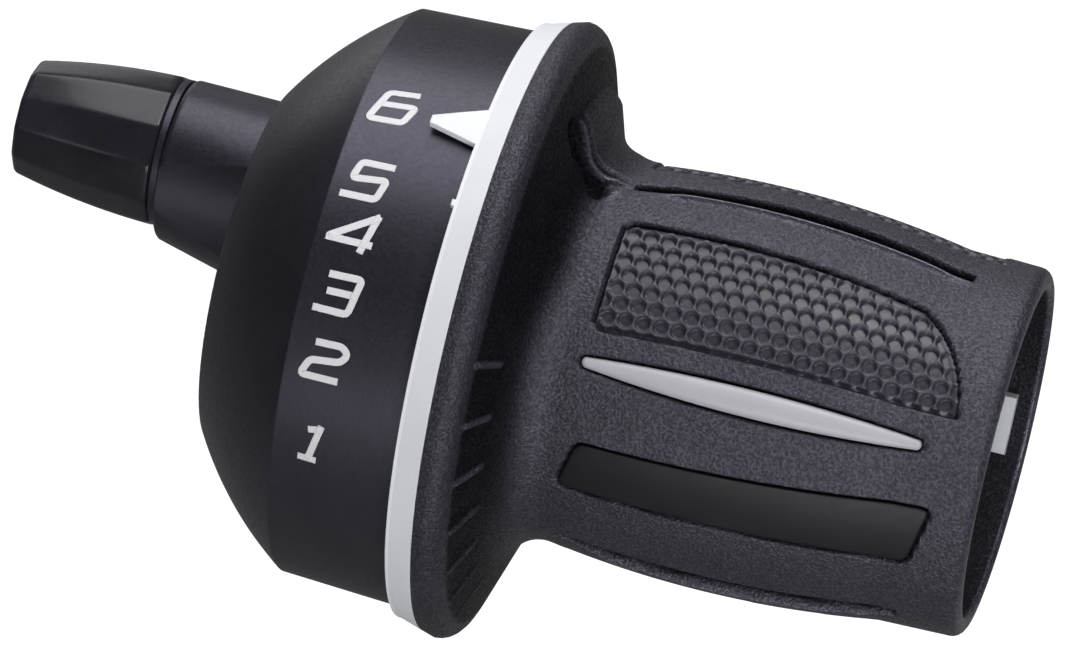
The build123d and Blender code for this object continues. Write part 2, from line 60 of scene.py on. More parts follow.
# A view angle goes round the bar: 0 faces the rider's eye and positive turns upwards.
EYE_ANGLE = 135.0


def node_mm(node):
    """Lowest and highest corner of a CAD node, in millimetres."""
    low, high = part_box(node)
    return np.array(low) / MM, np.array(high) / MM


SLEEVE_LOW, SLEEVE_HIGH = node_mm("grip_sleeve")
KNOB_LOW, KNOB_HIGH = node_mm("adjuster_knob")
COLLAR_LOW, COLLAR_HIGH = node_mm("adjuster_collar")
KNOB_AXIS = (COLLAR_LOW[1:] + COLLAR_HIGH[1:]) / 2

# Radii inside the rubber, where the rotor's tube runs
SLEEVE_BORE_R = 14.93
CORE_RIM_R = 26.53
RING_BACK_R = 28.0

# The drum that carries the numerals widens from its crease to its open end
CREASE_X = -11.2
CREASE_R = 25.95
DRUM_R = 26.45


def kind(make, scale=1, **settings):
    """Maker of one kind of property, whose default is given in the code's own unit."""
    def made(default, name, description):
        return make(name=name, description=description, default=default * scale, **settings)
    return made


length = kind(FloatProperty, MM, unit="LENGTH", precision=5)
angle = kind(FloatProperty, radians(1), subtype="ANGLE")
colour = kind(FloatVectorProperty, size=3, subtype="COLOR", min=0.0, max=1.0)
factor = kind(FloatProperty, min=0.0, max=1.0, subtype="FACTOR")
power = kind(FloatProperty, min=0.0, unit="POWER")
amount = kind(IntProperty, min=3)


class RubberSizes(PropertyGroup):
    """Sizes of the rubber skin and what is cut into it"""

    neck_radius: length(17.48, "Neck radius", "Barrel radius beside the flange")
    crown_radius: length(18.43, "Crown radius", "Largest barrel radius")
    collar_radius: length(16.98, "Collar radius", "Barrel radius where the end collar starts")
    end_radius: length(16.78, "End radius", "Barrel radius at the open end")
    panel_sink: length(0.24, "Panel sink", "Depth of the panels' lands in the rubber")
    dimple_pitch: length(1.6, "Dimple pitch", "Spacing of the dimples along the bar")
    dimple_radius: length(0.66, "Dimple radius", "Radius of one dimple")
    dimple_depth: length(0.45, "Dimple depth", "Depth of one dimple")
    groove_depth: length(1.45, "Groove depth", "Depth of the long grooves")
    bead_height: length(0.4, "Bead height", "Height of the bead beside a long groove")
    rib_height: length(0.38, "Rib height", "Height of the ribs behind the flange")
    pad_height: length(0.5, "Pad height", "Height of the pad behind the flange's top")
    hollow_depth: length(1.6, "Hollow depth", "Depth of the hollow below the pad")
    plate_depth: length(0.8, "Plate recess", "Depth of the plate's recess")
    inlay_depth: length(0.75, "Inlay recess", "Depth of the spear's recess")
    edge_round: length(0.2, "Edge round", "Half width of the rounding along a recess")
    moat_width: length(0.32, "Moat width", "Width of the fine groove round a dimple panel")
    front_columns: amount(352, "Front columns", "Grid columns on the seen side")
    back_columns: amount(184, "Back columns", "Grid columns on the far side")


class TrimSizes(PropertyGroup):
    """Sizes of the numerals, the inlaid pieces and the adjuster"""

    stroke: length(0.64, "Stroke", "Width of a numeral's stroke")
    print_height: length(0.03, "Print height", "Height of the numerals above the drum")
    inlay_rise: length(0.25, "Inlay rise", "Height of the spear's crest over the rubber")
    plate_sink: length(0.15, "Plate sink", "Depth of the plate's face in the rubber")
    knob_base: length(7.2, "Knob base radius", "Corner radius of the adjuster at the boss")
    knob_middle: length(6.7, "Knob middle radius", "Corner radius half way along the adjuster")
    knob_end: length(5.55, "Knob end radius", "Corner radius at the adjuster's end")
    knob_sides: amount(12, "Knob sides", "Shallow flats round the adjuster")
    shank: length(3.0, "Shank radius", "Outer radius of the adjuster's thread")
    lead: length(1.0, "Thread lead", "Travel of the adjuster in one turn")


class Finishes(PropertyGroup):
    """Colours of the finishes"""

    housing: colour((0.013, 0.0125, 0.0170), "Housing", "Matte black moulding")
    rubber: colour((0.0195, 0.0182, 0.025), "Rubber", "Charcoal rubber")
    ring: colour((0.84, 0.85, 0.90), "Ring", "Pale ring and rotor")
    inlay: colour((0.48, 0.48, 0.52), "Inlay", "Mid-grey spear")
    plate: colour((0.009, 0.009, 0.012), "Plate", "Gloss black plate")
    adjuster: colour((0.017, 0.0165, 0.023), "Adjuster", "Gloss black adjuster")
    numerals: colour((0.76, 0.76, 0.79), "Numerals", "Printed numerals")
    steel: colour((0.56, 0.56, 0.58), "Steel", "Plated screws and springs")
    floor: colour((0.22, 0.22, 0.22), "Floor", "Studio floor")


class StudioSettings(PropertyGroup):
    """Camera and lamps"""

    lens: FloatProperty(name="Lens", description="Focal length in millimetres", default=266.67, min=1.0)
    swing: angle(9.16, "Swing", "Turn of the open end towards the camera")
    roll: angle(14.12, "Roll", "Slope of the bar down the picture")
    distance: length(714.3, "Distance", "Distance of the camera along its view")
    origin_right: length(-5.68, "Origin right", "Origin's place right of the middle")
    origin_down: length(-0.29, "Origin down", "Origin's place below the middle")
    drop: length(90.0, "Floor drop", "Distance of the floor under the bar's axis")
    key: power(2.6, "Key", "Large lamp overhead")
    spot: power(0.4, "Spot", "Small lamp beside the key")
    fill: power(1.55, "Fill", "Lamp in front")
    side: power(0.1, "Side", "Lamp on the left")
    behind: power(0.2, "Behind", "Lamp behind the cone")
    right: power(0.85, "Right", "Lamp on the right")
    ambient: factor(0.06, "Ambient", "Strength of the even light from the room")


# Mesh helpers: points within the weld are joined, slivers are dissolved, and FAR is past any distance compared

WELD = 0.002
SLIVER = 0.0005
FAR = 9.0


def beside(x, radius, turn, centre):
    """Point round an axis beside the bar: the radius turned from +Y towards +Z about the centre."""
    y, z = centre[0] + radius * np.cos(turn), centre[1] + radius * np.sin(turn)
    return np.stack(np.broadcast_arrays(x, y, z), -1)


def polar(x, radius, view):
    """Point round the bar: x along it, and the radius turned by the view angle from the eye's side."""
    return beside(x, radius, np.radians(EYE_ANGLE - view), (0.0, 0.0))


def grid_quads(rows, columns, wrap_rows=False, wrap_columns=False):
    """Corner numbers of the quads between neighbouring grid points, closed where a direction wraps."""
    number = np.pad(np.arange(rows * columns).reshape(rows, columns), ((0, wrap_rows), (0, wrap_columns)), "wrap")
    return np.stack([number[:-1, :-1], number[:-1, 1:], number[1:, 1:], number[1:, :-1]], -1).reshape(-1, 4)


def show(name, data):
    """New object in the scene that shows the data."""
    made = bpy.data.objects.new(name, data)
    bpy.context.scene.collection.objects.link(made)
    return made


def add_object(name, points, faces, sharp_angle, body, material, stands_for=(), marks=None):
    """Writes points in millimetres and their faces as one closed piece that rides on a body, with named marks."""
    mesh = bpy.data.meshes.new(name)
    mesh.from_pydata(np.asarray(points, float).reshape(-1, 3) * MM, [], faces)
    for label, values in (marks or {}).items():
        mesh.attributes.new(label, "FLOAT", "POINT").data.foreach_set("value", values)
    shell = bmesh.new()
    shell.from_mesh(mesh)
    bmesh.ops.remove_doubles(shell, verts=shell.verts, dist=WELD * MM)
    bmesh.ops.dissolve_degenerate(shell, edges=shell.edges, dist=SLIVER * MM)
    bmesh.ops.recalc_face_normals(shell, faces=shell.faces)
    shell.to_mesh(mesh)
    shell.free()
    mesh.shade_smooth()
    mesh.set_sharp_from_angle(angle=radians(sharp_angle))
    mesh.materials.append(material)
    piece = show(name, mesh)
    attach(piece, body)
    if stands_for:
        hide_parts(*stands_for)


def arc(start, middle, end, count):
    """Circular arc through three points of length and radius, as evenly turned steps from start to end."""
    start, middle, end = (np.asarray(point, float) for point in (start, middle, end))
    chords = np.array([middle - start, end - start])
    centre = start + np.linalg.solve(chords, (chords ** 2).sum(1) / 2)
    first, halfway, last = (atan2(*(point - centre)[::-1]) for point in (start, middle, end))
    ahead = (last - first) % tau
    sweep = ahead if (halfway - first) % tau < ahead else ahead - tau
    turn = first + sweep * np.linspace(0, 1, count)
    return centre + np.linalg.norm(start - centre) * np.stack([np.cos(turn), np.sin(turn)], -1)


def joined(*runs):
    """Runs put end to end, each without its first point after the first run."""
    return np.concatenate([runs[0]] + [run[1:] for run in runs[1:]])


def through(corners, counts):
    """Straight runs from corner to corner, each set out in its own count of points."""
    return joined(*map(np.linspace, corners[:-1], corners[1:], counts))


def fade(value, start, end):
    """Ramp with level ends, from 0 at a start to 1 at an end."""
    share = np.clip((value - start) / (end - start), 0.0, 1.0)
    return share * share * (3 - 2 * share)


def bell(value, middle, width):
    """Bell curve, 1 at its middle, that falls with the square of the distance over the width."""
    return np.exp(-((value - middle) / width) ** 2)


def signed_distance(x, y, outline):
    """Distance to a closed outline: that of the nearest edge, negative where the crossing count says inside."""
    points = np.stack([x, y], -1)[..., None, :]
    ends = np.roll(outline, -1, 0)
    edges = ends - outline
    offset = points - outline
    share = np.clip((offset * edges).sum(-1) / (edges ** 2).sum(-1), 0, 1)
    nearest = np.sqrt(((offset - share[..., None] * edges) ** 2).sum(-1).min(-1))
    spans = (outline[:, 1] > points[..., 1]) != (ends[:, 1] > points[..., 1])
    slope = edges[:, 0] / np.where(edges[:, 1] == 0, 1e-12, edges[:, 1])
    left = points[..., 0] < outline[:, 0] + slope * offset[..., 1]
    inside = (spans & left).sum(-1) % 2 == 1
    return np.where(inside, -nearest, nearest)


def evened(path, step, closed=False):
    """Path set out again in even steps along its length, and round to its start where it is closed."""
    path = np.concatenate([path, path[:1]]) if closed else path
    reach = np.concatenate([[0], np.cumsum(np.linalg.norm(np.diff(path, axis=0), axis=1))])
    steps = int(reach[-1] / step)
    even = np.linspace(0, reach[-1], steps if closed else steps + 2, endpoint=not closed)
    return np.stack([np.interp(even, reach, path[:, axis]) for axis in (0, 1)], -1)


def bends(before, corners, after, radius, count):
    """Curves of the second order that cut corners and leave both sides at their own slope."""
    start, end = (corners + (side - corners) / np.linalg.norm(side - corners, axis=1, keepdims=True) * radius
                  for side in (before, after))
    share = np.linspace(0, 1, count)[None, :, None]
    start, corners, end = start[:, None], corners[:, None], end[:, None]
    return (start * (1 - share) ** 2 + 2 * corners * share * (1 - share) + end * share ** 2).reshape(-1, 2)


def square_to(path):
    """Ways of length 1 square to a path, on its left."""
    step = np.gradient(path, axis=0)
    return np.stack([-step[:, 1], step[:, 0]], -1) / np.linalg.norm(step, axis=1, keepdims=True)


# Materials


def feed(tree, node, **inputs):
    """Sets a node's named inputs, each to a value or to what another node puts out."""
    for name, value in inputs.items():
        socket = node.inputs[name.replace("_", " ")]
        if isinstance(value, bpy.types.NodeSocket):
            tree.links.new(value, socket)
        else:
            socket.default_value = value
    return node


def add_node(tree, sort, **inputs):
    """New shader node of a sort, with its inputs fed."""
    return feed(tree, tree.nodes.new("ShaderNode" + sort), **inputs)


def noise(tree, place, scale, detail=2.0, roughness=0.5):
    """Noise pattern with so many features to the metre."""
    return add_node(tree, "TexNoise", Scale=scale, Detail=detail, Roughness=roughness, Vector=place).outputs["Fac"]


def mark(tree, name):
    """The mark of that name on the mesh's points."""
    node = add_node(tree, "Attribute")
    node.attribute_name = name
    return node.outputs["Fac"]


def ramp(tree, value, stops, socket):
    """Leads a value to a socket through stops of place and colour, or of place and grey."""
    node = add_node(tree, "ValToRGB", Fac=value)
    while len(node.color_ramp.elements) < len(stops):
        node.color_ramp.elements.new(1.0)
    for element, (position, tint) in zip(node.color_ramp.elements, stops):
        element.position = position
        element.color = (*np.broadcast_to(tint, 3), 1.0)
    tree.links.new(node.outputs["Color"], socket)


def clouded(tree, pattern, base, shares, socket):
    """Leads a pattern to a colour socket, from a lower to a higher share of the base colour."""
    tints = [np.clip(np.array(base) * share, 0.0, 1.0) for share in shares]
    ramp(tree, pattern, list(zip((0.3, 0.7), tints)), socket)


def product(tree, socket):
    """Two sockets whose product drives a third one."""
    node = add_node(tree, "Mix")
    node.data_type = "RGBA"
    node.blend_type = "MULTIPLY"
    feed(tree, node, Factor=1.0)
    tree.links.new(node.outputs["Result"], socket)
    return node.inputs["A"], node.inputs["B"]


def bump(tree, shader, height, distance, strength, **below):
    """Bump of a depth in millimetres, laid over the normal below it where there is one."""
    node = add_node(tree, "Bump", Height=height, Distance=distance * MM, Strength=strength, **below)
    feed(tree, shader, Normal=node.outputs["Normal"])
    return node


def soft_edges(tree, radius):
    """Normal that rounds a moulding's edges over a radius in millimetres."""
    node = add_node(tree, "Bevel", Radius=radius * MM)
    node.samples = 4
    return node.outputs["Normal"]


def moulded_black(tree, shader, place, base, rough, grain):
    """Matte moulded nylon: fine spark grain, cloudy tone and uneven gloss."""
    feed(tree, shader, Specular_IOR_Level=0.66, Specular_Tint=(0.82, 0.80, 1.0, 1.0))
    clouded(tree, noise(tree, place, 160, 3), base, (0.85, 1.2), shader.inputs["Base Color"])
    fine = noise(tree, place, 2600, 2, 0.6)
    ramp(tree, fine, [(0.3, rough - 0.06), (0.7, rough + 0.08)], shader.inputs["Roughness"])
    bump(tree, shader, fine, 0.05, grain, Normal=soft_edges(tree, 0.2))


def grained_rubber(tree, shader, place, base, rough):
    """Charcoal rubber from a spark-eroded mould: pitted grain, light flecks and a cloudy bloom. A mark on the skin
    darkens colour and gloss as painted shade in hollows and behind the flange, and lightens and polishes rubbed
    edges, whose lighter colour is partly a painted highlight."""
    feed(tree, shader, Specular_Tint=(0.86, 0.83, 1.0, 1.0))
    # The mark's low end is painted shade, dimming colour and gloss; its high end lightens rubbed edges, partly as
    # painted highlight
    tone = mark(tree, "tone")
    fleck = noise(tree, place, 3600, 3, 0.6)
    by_shade_wear_and_highlight, by_fleck = product(tree, shader.inputs["Specular IOR Level"])
    ramp(tree, tone, [(0.0, 0.06), (0.5, 1.0)], by_shade_wear_and_highlight)
    ramp(tree, fleck, [(0.4, 0.8), (0.58, 1.0)], by_fleck)
    flecked, by_shade_wear_and_highlight = product(tree, shader.inputs["Base Color"])
    by_cloud, by_fleck = product(tree, flecked)
    clouded(tree, noise(tree, place, 240, 4, 0.6), base, (4.2, 6.4), by_cloud)
    ramp(tree, fleck, [(0.36, 0.18), (0.5, 0.38), (0.57, 0.75), (0.64, 1.0)], by_fleck)
    # Painted shade darkens the colour where the mark is low; rubbed edges, where it is high, get a lighter colour
    # that is partly a painted highlight
    ramp(tree, tone, [(0.0, 0.1), (0.5, 0.4), (1.0, 1.0)], by_shade_wear_and_highlight)
    by_fleck, by_shade_wear_and_highlight = product(tree, shader.inputs["Roughness"])
    ramp(tree, fleck, [(0.35, rough + 0.12), (0.7, rough - 0.16)], by_fleck)
    ramp(tree, tone, [(0.5, 1.0), (1.0, 0.55)], by_shade_wear_and_highlight)
    pits = bump(tree, shader, fleck, 0.2, 1.0)
    ramp(tree, tone, [(0.5, 1.0), (0.9, 0.15)], pits.inputs["Strength"])
    bump(tree, shader, noise(tree, place, 6000, 1), 0.05, 0.4, Normal=pits.outputs["Normal"])


def dimpled_rubber(tree, shader, place, base, rough):
    """Rubber of the dimple panels: matte lands, and smoother floors in the pits."""
    clouded(tree, noise(tree, place, 700, 3, 0.6), base, (2.1, 3.0), shader.inputs["Base Color"])
    ramp(tree, mark(tree, "pit"), [(0.4, rough), (0.95, 0.34)], shader.inputs["Roughness"])
    bump(tree, shader, noise(tree, place, 3200, 2, 0.6), 0.05, 0.35)


def satin(tree, shader, place, base, rough, grain=0.15):
    """Satin moulded plastic with faint flow clouds."""
    clouded(tree, noise(tree, place, 120, 3), base, (0.96, 1.03), shader.inputs["Base Color"])
    fine = noise(tree, place, 3000, 2)
    ramp(tree, fine, [(0.3, rough - 0.05), (0.7, rough + 0.06)], shader.inputs["Roughness"])
    bump(tree, shader, fine, 0.03, grain, Normal=soft_edges(tree, 0.15))


def gloss_black(tree, shader, place, base, rough, coat):
    """Polished black moulding under a clear skin, with faint sink waves and smears."""
    feed(tree, shader, Specular_IOR_Level=0.3 + 0.3 * coat, Coat_Weight=coat, Coat_Roughness=rough / 3)
    clouded(tree, noise(tree, place, 200, 2), base, (0.8, 1.3), shader.inputs["Base Color"])
    smear = noise(tree, place, 900, 4, 0.7)
    ramp(tree, smear, [(0.35, rough), (0.75, rough + 0.1)], shader.inputs["Roughness"])
    bump(tree, shader, noise(tree, place, 260, 1), 0.04, 0.15)


def plated_steel(tree, shader, place, base):
    """Zinc-plated steel with fine drawn streaks."""
    feed(tree, shader, Metallic=1.0)
    stretch = add_node(tree, "Mapping", Scale=(1.0, 6.0, 6.0), Vector=place)
    streak = noise(tree, stretch.outputs["Vector"], 900, 3)
    clouded(tree, streak, base, (0.8, 1.15), shader.inputs["Base Color"])
    ramp(tree, streak, [(0.3, 0.25), (0.7, 0.42)], shader.inputs["Roughness"])
    bump(tree, shader, streak, 0.02, 0.2)


def shared(name, finish, base, **values):
    """The material of that name, made on first use: a finish lays its patterns out in Object coordinates."""
    material = bpy.data.materials.get(name)
    if not material:
        material = bpy.data.materials.new(name)
        material.use_nodes = True
        tree = material.node_tree
        place = add_node(tree, "TexCoord").outputs["Object"]
        finish(tree, tree.nodes["Principled BSDF"], place, base, **values)
    return material


def dress(material, *nodes):
    """Gives CAD nodes their finish."""
    for node in nodes:
        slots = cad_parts[node].data.materials
        slots.clear()
        slots.append(material)


# Rubber: its section, with how far the rim's bend lies before and below the rim's back edge and top

RIM_X = 3.56
RIM_SHY = 0.012
RIM_BEND = (0.58, 0.37)
RIM_BACK = (5.15, 27.05)
ROOT = (7.65, 20.05)
ROOT_CURVE = (8.92, 18.17)
NECK_X = 11.5
CROWN_X = 24.5
COLLAR_X = 41.5
END_ROUND = 1.1
BORE_EASE = 0.3
CORE_CORNERS = ((9.53, SLEEVE_BORE_R), (6.43, 20.15), (4.3, 25.08))

# Rows of the skin in each run before the end's lip: front, ring's seat, rim, slope, root and barrel
RUN_ROWS = (2, 4, 5, 21, 13, 119)
SLOPE_RUN = 3
BARREL_RUN = 5

# Columns of the skin: the seen side's ends, and the turn beside a groove where they stand closer by a factor
FRONT_VIEWS = (-80.0, 68.0)
SPREAD_REACH = 5.5
SPREAD_DENSER = 3

# A recess is looked for within this turn, and this far before and after its outline
RECESS_TURN = 0.6
RECESS_REACH = 1.0

# Dimple panels: name, view angle, half width, grid cells to a pitch and depth of the fine groove round it
PANELS = (
    ("dimple_panel_front", 24.0, 5.5, 16, 0.4),
    ("dimple_panel_back_1", 96.7, 7.2, 11, 0.08),
    ("dimple_panel_back_2", 174.0, 7.2, 11, 0.08),
    ("dimple_panel_back_3", 251.3, 7.2, 11, 0.08),
)
PANEL_START = 13.2
PANEL_END = 45.6
PANEL_SHOULDER = 40.5
PANEL_SHOULDER_DROP = 1.35
PANEL_TAIL_RISE = 0.45
PANEL_SWEEP = (1.0, 0.15)
PANEL_UPPER_NOSE = ((0.4, -0.15), (-0.2, -0.75))
PANEL_LOWER_NOSE = ((-0.2, 0.6), (0.4, 0.0))
PANEL_FLOOR = 1.05
SLAB_BOTTOM = 0.98
SLAB_MARGIN = 0.45
SLAB_NOSE = 0.3
FIELD_EASE = 0.14
PIT_EDGE = (0.04, -0.08)
LAND_SWELL = 0.04

INLAY_VIEW = -3.7
INLAY_START = 12.8
INLAY_END = 43.3
INLAY_UP = 1.2
INLAY_DOWN = 1.25
INLAY_ROUND = 0.55
INLAY_POINT = 3.8
INLAY_MARGIN = 0.2
INLAY_SIDE = -0.55
INLAY_THINNER = 0.3
INLAY_CREST = 0.7

# The plate's edge steps in by shares of its size, each at a height from its face
PLATE_VIEW = -34.0
PLATE_CORNERS = ((13.8, 1.95), (45.3, 3.45), (43.9, -2.45), (12.4, -2.95))
PLATE_ROUND = 0.9
PLATE_MARGIN = 0.14
PLATE_STEP = 0.4
PLATE_OVER_FLOOR = 0.05
PLATE_EDGE = ((1.0, -0.22), (0.994, -0.08), (0.985, -0.02), (0.975, 0.0))
PLATE_EDGE_PULL = (0.93, 1.0)
PLATE_RINGS = (0.9, 0.75, 0.6, 0.45, 0.3, 0.15, 0.0)

GROOVE_VIEWS = (57.4, -70.0)
GROOVE_BOW = 3.0
BACK_GROOVE_VIEWS = (135.3, 212.7)
GROOVE_START = 12.7
GROOVE_END = 43.2
GROOVE_HALVES = (0.35, 0.85, 0.5)
GROOVE_EASE = 1.3

# A bead's middle and width from the groove's edge, and where it fades in and out along the bar
BEAD = (0.52, 0.26)
BEAD_START = (GROOVE_START + 1, GROOVE_START + 5)
BEAD_END = (GROOVE_END + 2, GROOVE_END - 4)
# Share of the rubbed wear and painted highlight left on the low groove's bead
LOW_BEAD_WEAR_AND_HIGHLIGHT = 0.35

# A rib's half width at foot and crest, its ends as shares of the slope, and the fall from third to sixth rib
RIB_FIRST_VIEW = -8.0
RIB_PITCH = 12.1
RIB_COUNT = 7
RIB_EDGE = (0.4, 0.1)
RIB_TOP = (0.02, 0.08)
RIB_FOOT = (0.72, 0.6)
RIB_FALL = ((2, 5), (1.0, 0.35))

# The pad's ends, and middle and width of what runs inside its lower edge, in steps of the edge's easing
PAD_VIEWS = (56.0, 104.0)
PAD_EASE = 0.9
PAD_TOP = (23.0, 22.5)
PAD_FOOT = (NECK_X + 1.2, NECK_X - 1.3)
PAD_RIM = (1.1, 0.3)
CHANNEL = (3.4, 1.0)
CHANNEL_DEPTH = 0.8
CHANNEL_RIM = (5.2, 0.35)

# The hollow under the pad widens downwards, and a slanted lip stands at its foot
HOLLOW_VIEW = 52.3
HOLLOW_TOP_R = 24.2
HOLLOW_TOP = 0.2
HOLLOW_HALF = 0.65
HOLLOW_WIDER = 0.6
HOLLOW_FOOT = (NECK_X - 0.8, NECK_X - 2.0)
LIP_VIEW = 52.0
LIP_X = 10.9
LIP_SLANT = (0.89, 0.45)
LIP_WIDTH = 0.25
LIP_LENGTH = 0.9
LIP_HEIGHT = 0.25

# Painted shade and wear: how much edges are rubbed and lightened, partly as painted highlight, how strong the
# painted shade behind the flange and in deep cuts is, less on the pad, and how much darker the pad and the front
# are
PAD_RIM_WEAR_AND_HIGHLIGHT = 0.9
CHANNEL_RIM_WEAR_AND_HIGHLIGHT = 0.7
RIB_WEAR_AND_HIGHLIGHT = 0.6
END_LIP = (SLEEVE_HIGH[0] - 0.45, SLEEVE_HIGH[0] - 0.15)
END_LIP_WEAR_AND_HIGHLIGHT = 0.7
# Painted shade behind the flange: its strength, the share of the slope where it grows in, its end along the bar,
# how much further that end lies round a view and over which turns, and its easing
SHADE = 0.94
SHADE_TOP = 0.12
SHADE_X = 8.2
SHADE_LONGER = 1.6
SHADE_VIEW = 45.0
SHADE_TURNS = (50.0, 20.0)
SHADE_EASE = 1.5
PAD_LESS_SHADE = 0.4
PAD_DARKENING = 0.5
FRONT_DARKENING = 0.2
# Heights between which a deep cut takes on painted shade
DEEP_SHADE = (-0.06, -0.51)
# Inside the rubber: a lighter end lip, partly painted highlight, and painted shade down the bore
INNER_SHADE_WEAR_AND_HIGHLIGHT = (0.9, 0.15)


def barrel_radius(x, sizes):
    """Barrel radius along the bar: an arc through neck, crown and collar, then a straight taper to the end."""
    neck, crown, collar, end = (value / MM for value in (
        sizes.neck_radius, sizes.crown_radius, sizes.collar_radius, sizes.end_radius))
    curve = arc((NECK_X, neck), (CROWN_X, crown), (COLLAR_X, collar), 200)
    tail = np.linspace((COLLAR_X, collar), (SLEEVE_HIGH[0] - END_ROUND, end), 20)
    whole = joined(curve, tail)
    return np.interp(x, whole[:, 0], whole[:, 1])


def rubber_profile(sizes):
    """Closed section of the rubber as (length, radius): its outer skin, and its inner side on the rotor."""
    front = SLEEVE_LOW[0]
    end_x = SLEEVE_HIGH[0]
    end_r = sizes.end_radius / MM
    rim_r = SLEEVE_HIGH[1] - RIM_SHY
    rim_top = (RIM_X, rim_r)
    bend = (RIM_BACK[0] - RIM_BEND[0], rim_r - RIM_BEND[1])
    lip_x, lip_r = end_x - END_ROUND, end_r - END_ROUND
    barrel_x = np.concatenate([np.linspace(NECK_X, COLLAR_X, 101), np.linspace(COLLAR_X, lip_x, 20)[1:]])
    barrel = np.stack([barrel_x, barrel_radius(barrel_x, sizes)], -1)
    lip_middle = np.array([lip_x, lip_r]) + END_ROUND * sqrt(0.5)
    skin = joined(
        through([(front, CORE_RIM_R), (front, RING_BACK_R), rim_top], (3, 4)),
        arc(rim_top, bend, RIM_BACK, 6), np.linspace(RIM_BACK, ROOT, 22),
        arc(ROOT, ROOT_CURVE, (NECK_X, sizes.neck_radius / MM), 14), barrel,
        arc((lip_x, end_r), lip_middle, (end_x, lip_r), 6))
    inner = through([
        (end_x, lip_r), (end_x, SLEEVE_BORE_R + BORE_EASE), (end_x - BORE_EASE, SLEEVE_BORE_R),
        (end_x - 2 * BORE_EASE, SLEEVE_BORE_R), *CORE_CORNERS, (front, CORE_RIM_R)], (2, 3, 2, 4, 2, 2, 2))
    return skin, inner[1:-1]


def panel_outline(half):
    """Dimple panel seen square on: upright at the flange's end and swept round at the other."""
    low_end = (PANEL_END, -half + PANEL_TAIL_RISE)
    shoulder = (PANEL_SHOULDER, half - PANEL_SHOULDER_DROP)
    upper = np.array([PANEL_START, half]) + PANEL_UPPER_NOSE
    lower = np.array([PANEL_START, -half]) + PANEL_LOWER_NOSE
    sweep = arc(low_end, ((PANEL_END + PANEL_SHOULDER) / 2 + PANEL_SWEEP[0], PANEL_SWEEP[1]), shoulder, 14)
    crown = arc(shoulder, ((PANEL_START + PANEL_SHOULDER) / 2, half), upper[0], 14)
    return np.concatenate([sweep, crown[1:], upper[1:], lower])


def spear_edges(grow, count):
    """Upper and lower edge of the spear: two arcs, held under a circle at each blunt tip, grown by a margin."""
    middle = (INLAY_START + INLAY_END) / 2
    reach = (INLAY_END - INLAY_START) / 2 + grow
    x = middle - reach * np.cos(np.linspace(0, pi, count))
    tip = INLAY_ROUND + grow
    inward = np.clip(reach - np.abs(x - middle), 0, tip)
    cap = np.where(inward < tip, np.sqrt(np.clip(tip ** 2 - (tip - inward) ** 2, 0, None)), FAR)
    edges = []
    for height in (INLAY_UP + grow, -INLAY_DOWN - grow):
        point = INLAY_POINT * (1 + grow / abs(height)) + grow
        curve = arc((INLAY_START - point, 0), (CROWN_X, height), (INLAY_END + point, 0), 200)
        width = np.minimum(np.abs(np.interp(x, curve[:, 0], curve[:, 1])), cap)
        edges.append(np.stack([x, copysign(1, height) * width], -1))
    return edges


def spear_outline(grow):
    """The spear's edges as one closed outline."""
    upper, lower = spear_edges(grow, 46)
    return np.concatenate([upper[:-1], lower[:0:-1]])


def plate_outline(grow):
    """Raked plate with rounded corners, grown by a margin."""
    corners = np.array(PLATE_CORNERS)
    corners = corners + np.sign(corners - corners.mean(0)) * grow
    return bends(np.roll(corners, 1, 0), corners, np.roll(corners, -1, 0), PLATE_ROUND + grow, 6)[::-1]


def groove_outline():
    """Long groove: two arcs between blunt ends, narrower at the flange's end."""
    upper = arc(*zip((GROOVE_START, CROWN_X, GROOVE_END), GROOVE_HALVES), 30)
    return np.concatenate([upper, upper[::-1] * (1, -1)])


def turned_by(view, centre):
    """View angle from a centre, from -180 to 180 degrees."""
    return (view - centre + 180.0) % 360.0 - 180.0


def recess(x, radius, view, centre, outline, depth, edge):
    """Depth cut where a point lies inside an outline, easing over the edge's width on both sides, with the point's
    distance from the outline and its place across it."""
    turn = np.radians(turned_by(view, centre))
    across = radius * np.sin(turn)
    reach = np.full(np.broadcast(x, across).shape, FAR)
    rows, columns, turn = (np.broadcast_to(value, reach.shape) for value in (x, across, turn))
    first, last = outline[:, 0].min() - RECESS_REACH, outline[:, 0].max() + RECESS_REACH
    pick = (np.abs(turn) < RECESS_TURN) & (rows > first) & (rows < last)
    reach[pick] = signed_distance(rows[pick], columns[pick], outline)
    return -depth * fade(reach, edge, -edge), reach, columns


